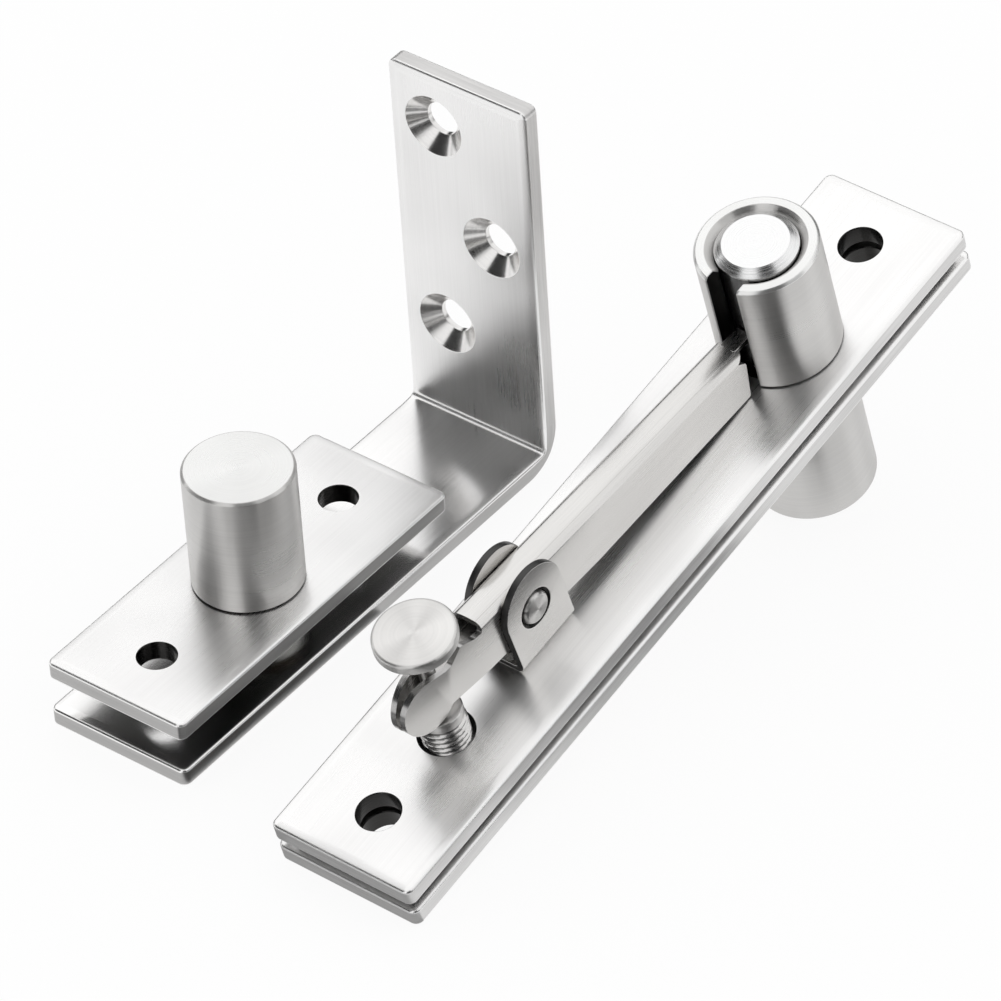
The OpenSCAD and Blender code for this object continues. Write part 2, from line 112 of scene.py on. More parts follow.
def line_lengths(points: np.ndarray) -> np.ndarray:
    """Distance along a polyline at each of its points, from zero.

    Args:
        points: Points of the line, one per row.

    Returns:
        One running length per point.
    """
    steps = np.linalg.norm(np.diff(points, axis=0), axis=1)
    return np.concatenate([[0.0], np.cumsum(steps)])


def filleted(corners: Sequence, radii: Sequence[float], steps: int = 5) -> np.ndarray:
    """An open line in which each inner corner is an arc.

    The arc starts where the incoming side has r tan(half the turn) left, and its points are
    start + r sin(a) along + r (1 - cos(a)) towards the inside of the turn.

    Args:
        corners: Corner points, first and last included.
        radii: Radius at each corner; the first and last are not used.
        steps: Number of chords in an arc.

    Returns:
        The points of the line, one per row.
    """
    points = np.array(corners, float)
    made = [points[:1]]
    for before, here, after, r in zip(points[:-2], points[1:-1], points[2:], radii[1:-1]):
        along = (here - before) / np.linalg.norm(here - before)
        onward = (after - here) / np.linalg.norm(after - here)
        cross = along[0] * onward[1] - along[1] * onward[0]
        turn = math.atan2(abs(cross), float(along @ onward))
        if r <= 0 or turn < TINY:
            made.append(here[None])
            continue
        side = np.array([-along[1], along[0]]) * np.sign(cross)
        start = here - along * r * math.tan(turn / 2)
        a = np.linspace(0, turn, steps + 1)[:, None]
        made.append(start + r * (np.sin(a) * along + (1 - np.cos(a)) * side))
    made.append(points[-1:])
    return np.concatenate(made)


def arc(centre: tuple[float, float], r: float, start: float, end: float, steps: int) -> np.ndarray:
    """Points on a circle, at centre + r (cos a, sin a), from one angle to the other in degrees."""
    a = np.radians(np.linspace(start, end, steps + 1))
    return np.stack([centre[0] + r * np.cos(a), centre[1] + r * np.sin(a)], 1)


def rounded_rectangle(x0: float, x1: float, y0: float, y1: float, r: float, inset: float = 0.0,
                      steps: int = 8) -> np.ndarray:
    """The outline of a plate: four quarter circles joined by straight sides, turning left.

    Args:
        x0: Lowest x.
        x1: Highest x.
        y0: Lowest y.
        y1: Highest y.
        r: Corner radius.
        inset: Distance by which the outline is drawn in; the corners keep a least radius.
        steps: Chords in a quarter circle.

    Returns:
        The points of the closed outline; the last one isn't repeated.
    """
    round_r = max(r - inset, MIN_ROUND)
    draw = inset + round_r
    left, right, near, far = x0 + draw, x1 - draw, y0 + draw, y1 - draw
    centres = [(right, near), (right, far), (left, far), (left, near)]
    return np.concatenate([arc(c, round_r, 90 * (i - 1), 90 * i, steps) for i, c in enumerate(centres)])


def open_end(x0: float, x1: float, half: float, r: float, inset: float = 0.0, steps: int = 8) -> np.ndarray:
    """The outline of a strip that ends round its corners at x1 and runs on, uncut, at x0.

    Args:
        x0: Where the strip is left open.
        x1: Where it ends.
        half: Half of its width.
        r: Corner radius.
        inset: Distance by which the outline is drawn in.
        steps: Chords in a quarter circle.

    Returns:
        The points from the open side's lower edge round to its upper edge.
    """
    run = half - inset
    round_r = max(r - inset, MIN_ROUND)
    x, y = x1 - inset - round_r, run - round_r
    corners = [arc((x, -y), round_r, -90, 0, steps), arc((x, y), round_r, 0, 90, steps)]
    return np.concatenate([[[x0, -run]], *corners, [[x0, run]]])


def closed(loop: np.ndarray) -> np.ndarray:
    """A loop with its first point repeated at its end."""
    return np.concatenate([loop, loop[:1]])


def inside(points: np.ndarray, loop: np.ndarray) -> np.ndarray:
    """True for each point from which a ray to +x crosses the closed loop an odd number of times.

    Args:
        points: Points in the plane, one per row.
        loop: The loop's points, the last one joined to the first.

    Returns:
        One truth value per point.
    """
    x, y = points[:, None, 0], points[:, None, 1]
    a, b = loop[None], np.roll(loop, -1, 0)[None]
    spans = (a[..., 1] > y) != (b[..., 1] > y)
    rise = np.where(spans, b[..., 1] - a[..., 1], 1.0)
    cut = a[..., 0] + (y - a[..., 1]) * (b[..., 0] - a[..., 0]) / rise
    return (np.sum(spans & (x < cut), axis=1) % 2) == 1


# Meshes


def cells(n: int, m: int) -> np.ndarray:
    """The quads of a net of n by m points, as four point numbers each."""
    at = np.arange(n * m).reshape(n, m)
    return np.stack([at[:-1, :-1], at[1:, :-1], at[1:, 1:], at[:-1, 1:]], -1).reshape(-1, 4)


def pairs(across: np.ndarray, along: np.ndarray) -> np.ndarray:
    """Two grain coordinates joined, after each is spread over the whole net, per point."""
    return np.stack(np.broadcast_arrays(across, along), -1)


@dataclass
class Surface:
    """The patches of one piece, in millimetres in the frame of its assembly.

    Each face corner carries a grain coordinate in millimetres: first across the tool marks, then
    along them. Each face carries the number of its finish.
    """

    points: list[np.ndarray] = field(default_factory=list)
    faces: list[np.ndarray] = field(default_factory=list)
    grain: list[np.ndarray] = field(default_factory=list)
    finish: list[np.ndarray] = field(default_factory=list)
    count: int = 0

    def add(self, points: np.ndarray, faces: np.ndarray, grain: np.ndarray,
            finish: int | np.ndarray) -> None:
        """Adds a patch of triangles or quads.

        Args:
            points: Its points, one per row.
            faces: The point numbers of each face.
            grain: One grain coordinate per point.
            finish: Number of the finish, or one number per face.
        """
        self.points.append(points)
        self.faces.append(faces + self.count)
        self.grain.append(grain[faces].reshape(-1, 2))
        self.finish.append(np.broadcast_to(finish, len(faces)))
        self.count += len(points)

    def grid(self, points: np.ndarray, grain: np.ndarray, finish: int | np.ndarray = Zone.FACE) -> None:
        """Adds a net of n by m points, in which each cell is a quad.

        Args:
            points: Array of n by m by 3.
            grain: Array of n by m by 2.
            finish: Number of the finish, or one number per cell.
        """
        n, m, _ = points.shape
        self.add(points.reshape(-1, 3), cells(n, m), grain.reshape(-1, 2), finish)

    def fill(self, loops: list[np.ndarray], lift: Callable, finish: int = Zone.FACE) -> None:
        """Fills the flat region inside the first loop and outside the others.

        The triangles are the constrained Delaunay ones whose middle lies in the region.

        Args:
            loops: Closed outlines, as points in the plane.
            lift: Gives the place in space of points in the plane.
            finish: Number of the finish.
        """
        flat = np.concatenate(loops)
        starts = np.cumsum([0] + [len(loop) for loop in loops])
        edges = [(int(s + i), int(s + (i + 1) % len(loop)))
                 for s, loop in zip(starts, loops) for i in range(len(loop))]
        made = delaunay_2d_cdt([Vector(p) for p in flat], edges, [], 0, TINY)
        plane = np.array([v[:] for v in made[0]], float)
        triangles = np.array(made[2], int)
        middle = plane[triangles].mean(1)
        keep = inside(middle, loops[0])
        for loop in loops[1:]:
            keep &= ~inside(middle, loop)
        self.add(lift(plane), triangles[keep], plane[:, ::-1].copy(), finish)


def place_points(points: np.ndarray, matrix: np.ndarray) -> np.ndarray:
    """Points turned and moved by a 4 by 4 matrix."""
    return points @ matrix[:3, :3].T + matrix[:3, 3]


def shift(x: float = 0.0, y: float = 0.0, z: float = 0.0) -> np.ndarray:
    """A 4 by 4 matrix that moves by x, y and z."""
    made = np.eye(4)
    made[:3, 3] = (x, y, z)
    return made


def turn(axis: str, degrees: float) -> np.ndarray:
    """A 4 by 4 matrix that turns about one axis of the frame."""
    return np.array(Matrix.Rotation(math.radians(degrees), 4, axis))


def make_piece(name: str, surface: Surface, place: np.ndarray, finishes: list[bpy.types.Material],
               body: Body, replaces: str, bevel: float = 0.0) -> None:
    """Turns patches into one closed mesh that rides on a body.

    Points nearer than the weld distance are merged, which closes seams and poles, and the faces are
    turned outwards. A bevel rounds the sharp edges of folded pieces.

    Args:
        name: Name of the piece.
        surface: Its patches.
        place: Matrix from the assembly's frame to the row frame, in millimetres.
        finishes: Materials in the order of the finish numbers.
        body: The body that it rides on.
        replaces: The node that it stands for.
        bevel: Width of the rounded edges in millimetres, or zero.
    """
    points = place_points(np.concatenate(surface.points), place) * MM
    mesh = bpy.data.meshes.new(name)
    faces = [face for patch in surface.faces for face in patch.tolist()]
    mesh.from_pydata(points, [], faces)
    layer = mesh.uv_layers.new(name=UV_NAME)
    layer.data.foreach_set("uv", np.concatenate(surface.grain).astype(np.float32).ravel())
    mesh.polygons.foreach_set("material_index", np.concatenate(surface.finish).astype(np.int32))
    shape = bmesh.new()
    shape.from_mesh(mesh)
    bmesh.ops.remove_doubles(shape, verts=shape.verts, dist=WELD)
    bmesh.ops.recalc_face_normals(shape, faces=shape.faces)
    shape.to_mesh(mesh)
    shape.free()
    for material in finishes:
        mesh.materials.append(material)
    mesh.shade_smooth()
    mesh.set_sharp_from_angle(angle=SMOOTH_ANGLE)
    piece = bpy.data.objects.new(name, mesh)
    bpy.context.scene.collection.objects.link(piece)
    if bevel:
        rounding = piece.modifiers.new("edges", "BEVEL")
        rounding.width = bevel * MM
        rounding.segments = 3
        rounding.limit_method = "ANGLE"
        rounding.angle_limit = SMOOTH_ANGLE
        rounding.use_clamp_overlap = False
    weighted = piece.modifiers.new("flat_faces", "WEIGHTED_NORMAL")
    weighted.keep_sharp = not bevel
    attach(piece, body.value)
    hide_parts(replaces)
    LOG.info("%s: %d faces on %s", name, len(mesh.polygons), body.value)


def revolve(surface: Surface, profile: list | np.ndarray, finish: int = Zone.FACE, steps: int = 128,
            matrix: Optional[np.ndarray] = None) -> None:
    """Turns a profile about z: the point at angle a is (r cos a, r sin a, z).

    The grain runs round the axis, so its first coordinate is the length along the profile.

    Args:
        surface: Takes the patch.
        profile: Points (r, z), one per row.
        finish: Number of the finish.
        steps: Facets in the full circle.
        matrix: Places the axis, or None for z itself.
    """
    profile = np.array(profile, float)
    a = np.linspace(0, FULL_TURN, steps + 1)[:, None]
    r, z = profile[:, 0][None], profile[:, 1][None]
    points = np.stack([r * np.cos(a), r * np.sin(a), z + 0 * a], -1)
    if matrix is not None:
        points = place_points(points.reshape(-1, 3), matrix).reshape(points.shape)
    surface.grid(points, pairs(line_lengths(profile)[None], a * profile[:, 0].max()), finish)


@dataclass(frozen=True)
class Hole:
    """A hole through a panel: its middle, and its wall as points (radius, height) from face to face."""

    x: float
    y: float
    wall: tuple[tuple[float, float], ...]
    steps: int = 64

    def loop(self, radius: float) -> np.ndarray:
        """The circle of one radius about the middle of the hole, without its last point."""
        return arc((self.x, self.y), radius, 0, 360, self.steps)[:-1]


def plain_hole(x: float, y: float, d: float, low: float, high: float) -> Hole:
    """A drilled hole whose upper edge is broken by a small chamfer."""
    r = d / 2
    return Hole(x, y, ((r + HOLE_CHAMFER, high), (r, high - HOLE_CHAMFER), (r, low)))


@dataclass
class Panel:
    """A flat sheet with a rounded edge, as a function that draws its outline in by an inset.

    Attributes:
        outline: Gives the outline for an inset in millimetres.
        low: Height of the underside.
        high: Height of the top.
        edge: Radius of the rounded edges.
        roll: Width of the soft slope that leads to them from each face, or zero.
        closed: False where the first and last point of the outline are left open, for a bend.
        holes: The holes.
        lift: Gives the place in space of (x, y) and a height.
    """

    outline: Callable
    low: float
    high: float
    edge: float
    roll: float = 0.0
    closed: bool = True
    holes: list[Hole] = field(default_factory=list)
    lift: Optional[Callable] = None

    def edge_profile(self) -> np.ndarray:
        """Inset and height along the edge: the soft slope, a rounding, the cut side and the same below.

        At inset i the slope lies lower than the face by rate (roll + edge - i)^2 / (2 roll), where the
        rate is the slope at its end, and the rounding turns from there to upright on its radius.
        """
        e, span = self.edge, self.roll
        rate = ROLL_SLOPE if span else 0.0
        lean = math.atan(rate)
        at = np.linspace(span, 0, EDGE_STEPS + 1)[:-1] if span else np.empty(0)
        slope = np.stack([at + e, rate * (span - at) ** 2 / (2 * span or 1.0)], 1)
        a = np.linspace(lean, math.pi / 2, EDGE_STEPS + 1)
        drop = rate * span / 2
        bend = np.stack([e * (1 - np.sin(a)), drop + e * (math.cos(lean) - np.cos(a))], 1)
        bend[:, 0] *= e / bend[0, 0]
        half = np.concatenate([slope, bend])
        top = np.stack([half[:, 0], self.high - half[:, 1]], 1)
        low = np.stack([half[::-1, 0], self.low + half[::-1, 1]], 1)
        return np.concatenate([top, low])

    def cuts(self) -> tuple[int, ...]:
        """The profile's points at which the finish changes: face, cut side, face."""
        count = len(self.edge_profile())
        return (0, count // 2 - 1, count // 2, count - 1)

    def raised(self, flat: np.ndarray, height: float) -> np.ndarray:
        """Points of the plane at one height, in space."""
        return self.lift(flat, np.full(len(flat), height))

    def build(self, surface: Surface, face: int = Zone.FACE, shaded: int = 0) -> None:
        """Adds the edge, the walls of the holes and the two faces.

        Args:
            surface: Takes the patches.
            face: Finish of the faces.
            shaded: 1 or -1 where the top or the underside lies out of sight and takes the SHADE finish, a
                painted shade.
        """
        profile = self.edge_profile()
        rings = [self.outline(inset) for inset, _ in profile]
        if self.closed:
            rings = [closed(ring) for ring in rings]
        points = np.stack([self.raised(ring, z) for ring, (_, z) in zip(rings, profile)], 1)
        grain = pairs(line_lengths(profile)[None], line_lengths(rings[0])[:, None])
        self.bands(surface, points, grain, self.cuts(), face)
        for hole in self.holes:
            self.hole_wall(surface, hole)
        outer = self.outline(profile[0, 0])
        for height, end, way in ((self.high, 0, 1), (self.low, -1, -1)):
            loops = [outer] + [hole.loop(hole.wall[end][0]) for hole in self.holes]
            finish = Zone.SHADE if way == shaded else face
            surface.fill(loops, lambda flat, height=height: self.raised(flat, height), finish)

    @staticmethod
    def bands(surface: Surface, points: np.ndarray, grain: np.ndarray, cuts: tuple[int, ...],
              face: int) -> None:
        """Adds the net of an edge in three strips: a face's slope, the cut side and the other slope.

        Args:
            surface: Takes the patches.
            points: The net.
            grain: Its grain coordinates.
            cuts: The columns at which the strips begin and end.
            face: Finish of the slopes.
        """
        for start, end, finish in zip(cuts[:-1], cuts[1:], (face, Zone.SIDE, face)):
            surface.grid(points[:, start:end + 1], grain[:, start:end + 1], finish)

    def hole_wall(self, surface: Surface, hole: Hole) -> None:
        """Adds the wall of one hole, which is its profile turned about the hole's middle.

        Args:
            surface: Takes the patch.
            hole: The hole.
        """
        wall = np.array(hole.wall)
        rings = [closed(hole.loop(r)) for r in wall[:, 0]]
        points = np.stack([self.raised(ring, z) for ring, z in zip(rings, wall[:, 1])], 1)
        surface.grid(points, pairs(line_lengths(wall)[None], line_lengths(rings[0])[:, None]), Zone.BORE)


def flat_lift(flat: np.ndarray, height: np.ndarray) -> np.ndarray:
    """The place of a point of a level sheet: its x and y, and its height as z."""
    return np.concatenate([flat, height[:, None]], 1)


# Finishes


def metal(name: str) -> tuple[bpy.types.Material, bpy.types.NodeTree, bpy.types.Node]:
    """A new metallic material.

    Args:
        name: Its name.

    Returns:
        The material, its node tree and its shader.
    """
    made = bpy.data.materials.new(name)
    made.use_nodes = True
    shader = made.node_tree.nodes["Principled BSDF"]
    shader.inputs["Metallic"].default_value = 1.0
    return made, made.node_tree, shader


@dataclass(frozen=True)
class Steel:
    """A steel surface with tool marks.

    Attributes:
        name: Name of the material.
        colour: Reflected colour.
        roughness: Roughness, round which the marks vary it.
        stretch: Anisotropy, which spreads light across the marks.
        fine: Marks per millimetre across the grain.
        length: Length of a mark in millimetres.
        contrast: How much the marks lighten and darken the colour.
        groove: Height of the marks in millimetres.
        cloud: How much large soft patches vary the roughness.
        wave: Height in millimetres of faint flats that run across the marks.
        rise: Heights in millimetres between which the colour brightens, as painted light, and by how much,
            or None.
        coarse: How much wider the coarse marks are than the fine ones, and how much longer.
        broad_share: Share of the coarse marks in all marks.
        flats: Faint flats per millimetre, across the marks and along them.
        patches: Soft patches per metre.
        patch_share: Share of the patches in the roughness.
    """

    name: str
    colour: tuple[float, float, float]
    roughness: float
    stretch: float = 0.0
    fine: float = 9.0
    length: float = 9.0
    contrast: float = 0.08
    groove: float = 0.002
    cloud: float = 0.05
    wave: float = 0.0
    rise: Optional[tuple[float, float, float]] = None
    coarse: tuple[float, float] = (6.0, 2.5)
    broad_share: float = 0.4
    flats: tuple[float, float] = (0.02, 0.45)
    patches: float = 70.0
    patch_share: float = 0.55

    def material(self) -> bpy.types.Material:
        """The node material: fine and coarse noise on the grain coordinates drive tone, gloss and bump."""
        made, tree, shader = metal(self.name)
        shader.inputs["Anisotropic"].default_value = self.stretch
        grain = tree.nodes.new("ShaderNodeUVMap")
        grain.uv_map = UV_NAME
        wider, longer = self.coarse
        marks = self.noise(tree, grain.outputs["UV"], (self.fine, 1 / self.length, 1), 2.0)
        long_marks = (self.fine / wider, 1 / (longer * self.length), 1)
        broad = self.noise(tree, grain.outputs["UV"], long_marks, 1.0)
        object_place = tree.nodes.new("ShaderNodeTexCoord")
        patches = self.noise(tree, object_place.outputs["Object"], (self.patches,) * 3, 1.0)
        both = self.blend(tree, marks, broad, self.broad_share)
        tone = self.ranged(tree, both, 1 - self.contrast, 1 + self.contrast)
        # Painted light: the colour grows brighter with height.
        if self.rise:
            tone = self.brightened(tree, tone, object_place.outputs["Object"])
        colour = tree.nodes.new("ShaderNodeVectorMath")
        colour.operation = "SCALE"
        colour.inputs[0].default_value = self.colour
        tree.links.new(tone, colour.inputs["Scale"])
        tree.links.new(colour.outputs["Vector"], shader.inputs["Base Color"])
        gloss = self.blend(tree, both, patches, self.patch_share)
        spread = self.cloud + self.contrast / 2
        rough = self.ranged(tree, gloss, self.roughness - spread, self.roughness + spread)
        tree.links.new(rough, shader.inputs["Roughness"])
        bump = tree.nodes.new("ShaderNodeBump")
        bump.inputs["Distance"].default_value = self.groove * MM
        tree.links.new(both, bump.inputs["Height"])
        tree.links.new(bump.outputs["Normal"], shader.inputs["Normal"])
        if self.wave:
            flats = self.noise(tree, grain.outputs["UV"], (*self.flats, 1), 2.0)
            swell = tree.nodes.new("ShaderNodeBump")
            swell.inputs["Distance"].default_value = self.wave * MM
            tree.links.new(flats, swell.inputs["Height"])
            tree.links.new(swell.outputs["Normal"], bump.inputs["Normal"])
        if self.stretch:
            tangent = tree.nodes.new("ShaderNodeTangent")
            tangent.direction_type = "UV_MAP"
            tangent.uv_map = UV_NAME
            tree.links.new(tangent.outputs["Tangent"], shader.inputs["Tangent"])
        return made

    def brightened(self, tree: bpy.types.NodeTree, tone: bpy.types.NodeSocket,
                   place: bpy.types.NodeSocket) -> bpy.types.NodeSocket:
        """The tone times a gain that grows from 1 at the lower height to the full one at the upper: painted
        light that brightens the colour with height.

        Args:
            tree: Takes the nodes.
            tone: The tone.
            place: The place on the object.

        Returns:
            The brightened tone.
        """
        low, high, gain = self.rise
        split = tree.nodes.new("ShaderNodeSeparateXYZ")
        product = tree.nodes.new("ShaderNodeMath")
        product.operation = "MULTIPLY"
        tree.links.new(place, split.inputs["Vector"])
        grown = self.ranged(tree, split.outputs["Z"], 1.0, gain, (low * MM, high * MM))
        tree.links.new(grown, product.inputs[0])
        tree.links.new(tone, product.inputs[1])
        return product.outputs["Value"]

    @staticmethod
    def noise(tree: bpy.types.NodeTree, source: bpy.types.NodeSocket, scale: tuple[float, float, float],
              detail: float) -> bpy.types.NodeSocket:
        """Noise on coordinates that are scaled first.

        Args:
            tree: Takes the nodes.
            source: The coordinates.
            scale: Their scale.
            detail: Octaves of the noise.

        Returns:
            The noise's value.
        """
        mapping = tree.nodes.new("ShaderNodeMapping")
        mapping.inputs["Scale"].default_value = scale
        pattern = tree.nodes.new("ShaderNodeTexNoise")
        pattern.inputs["Scale"].default_value = 1.0
        pattern.inputs["Detail"].default_value = detail
        tree.links.new(source, mapping.inputs["Vector"])
        tree.links.new(mapping.outputs["Vector"], pattern.inputs["Vector"])
        return pattern.outputs["Fac"]

    @staticmethod
    def blend(tree: bpy.types.NodeTree, a: bpy.types.NodeSocket, b: bpy.types.NodeSocket,
              share: float) -> bpy.types.NodeSocket:
        """A mix of two values, with that share of the second.

        Args:
            tree: Takes the node.
            a: First value.
            b: Second value.
            share: Share of the second value.

        Returns:
            The mix.
        """
        mix = tree.nodes.new("ShaderNodeMix")
        mix.inputs["Factor"].default_value = share
        tree.links.new(a, mix.inputs["A"])
        tree.links.new(b, mix.inputs["B"])
        return mix.outputs["Result"]

    @staticmethod
    def ranged(tree: bpy.types.NodeTree, value: bpy.types.NodeSocket, low: float, high: float,
               span: tuple[float, float] = NOISE_SPAN) -> bpy.types.NodeSocket:
        """The value, spread from one span to another and held at its ends.

        Args:
            tree: Takes the node.
            value: The value.
            low: What it becomes at the span's start.
            high: What it becomes at the span's end.
            span: The span, by default the one that noise mostly keeps to.

        Returns:
            The spread value.
        """
        spread = tree.nodes.new("ShaderNodeMapRange")
        limits = {"From Min": span[0], "From Max": span[1], "To Min": low, "To Max": high}
        for label, limit in limits.items():
            spread.inputs[label].default_value = limit
        tree.links.new(value, spread.inputs["Value"])
        return spread.outputs["Result"]


@dataclass
class Finishes:
    """The finishes of the hinge, each made once."""

    brushed: Steel = Steel("brushed_strip", (0.92, 0.915, 0.91), 0.30, stretch=0.75, fine=10,
                           length=18, contrast=0.045, groove=0.0012)
    rubbed: Steel = Steel("brushed_arm", (0.92, 0.915, 0.91), 0.19, stretch=0.7, fine=10,
                          length=18, contrast=0.045, groove=0.0012)
    # Painted shade: the faces of the two long strips that face each other across the gap are darkened to
    # 0.2.
    strip_gap_shade: Steel = Steel("strip_gap_painted_shade", (0.20, 0.198, 0.195), 0.42, stretch=0.4, fine=4,
                          length=20, contrast=0.1)
    # Painted shade: near-black colour for the small plate's underside and the clevis's cut edges.
    shaded: Steel = Steel("shaded_face", (0.08, 0.079, 0.078), 0.4, stretch=0.4, fine=4,
                          length=20, contrast=0.1)
    sheared: Steel = Steel("ground_edge", (0.70, 0.695, 0.69), 0.38, stretch=0.3, fine=5,
                           length=10, contrast=0.12)
    # Painted shade: a darker copy of the edge steel for the lower door plate's edges.
    plate_edge_shade: Steel = Steel("plate_edge_painted_shade", (0.46, 0.455, 0.45), 0.38, stretch=0.3, fine=5,
                          length=10, contrast=0.12)
    # The bracket's cut edge: a darker copy of the edge steel, which is painted shade, brightened with
    # height, which is painted light.
    folded: Steel = Steel("bracket_edge_painted_light_and_shade", (0.46, 0.455, 0.45), 0.38, stretch=0.3, fine=5,
                          length=10, contrast=0.12, rise=(3.0, 24.0, 1.52))
    # Near-black painted shade, not the steel's own colour: it darkens hole walls, the slotted barrel's bore
    # and slot walls, the barrel feet and the clevis's countersinks.
    drilled: Steel = Steel("bore_painted_shade", (0.04, 0.039, 0.038), 0.3, stretch=0.5, fine=8,
                           length=6, contrast=0.15)
    countersunk: Steel = Steel("countersunk_seat", (0.84, 0.83, 0.82), 0.17, stretch=0.6, fine=4,
                               length=20, contrast=0.10, wave=0.02)
    turned: Steel = Steel("turned_side", (0.66, 0.652, 0.64), 0.32, stretch=0.96, fine=8,
                          length=40, contrast=0.06, groove=0.0015, wave=0.03)
    faced: Steel = Steel("faced_end", (0.86, 0.86, 0.85), 0.28, stretch=0.8, fine=4,
                         length=90, contrast=0.04, groove=0.0015)
    knob: Steel = Steel("turned_head", (0.80, 0.79, 0.775), 0.34, stretch=0.93, fine=2.4,
                        length=120, contrast=0.08, groove=0.003)
    pressed: Steel = Steel("pressed_sheet", (0.72, 0.71, 0.695), 0.24, stretch=0.35, fine=6,
                           length=9, contrast=0.05)
    sheared_sheet: Steel = Steel("sheet_edge", (0.46, 0.455, 0.45), 0.26, fine=7, length=4,
                                 contrast=0.14)
    threaded: Steel = Steel("rolled_thread", (0.68, 0.67, 0.66), 0.26, fine=6, length=20,
                            contrast=0.1)
    # Painted shade: the thread's roots are darkened to 0.22.
    root: Steel = Steel("thread_root_painted_shade", (0.22, 0.217, 0.213), 0.3, fine=6, length=20, contrast=0.1)
    table: dict[str, bpy.types.Material] = field(default_factory=dict)

    def get(self, *names: str) -> list[bpy.types.Material]:
        """The materials of these names, in that order."""
        for name in names:
            if name not in self.table:
                self.table[name] = getattr(self, name).material()
        return [self.table[name] for name in names]


# The hinge


@dataclass(frozen=True)
class Stock:
    """The strip that every plate is cut from, in millimetres."""

    width: float = 24.0
    thickness: float = 3.0
    corner: float = 1.2
    edge: float = 0.4
    roll: float = 1.2

    @property
    def half(self) -> float:
        """Half of the width."""
        return self.width / 2

    def outline(self, x0: float, x1: float) -> Callable:
        """A function that gives the outline of a plate from x0 to x1 for an inset."""
        return lambda inset: rounded_rectangle(x0, x1, -self.half, self.half, self.corner, inset)


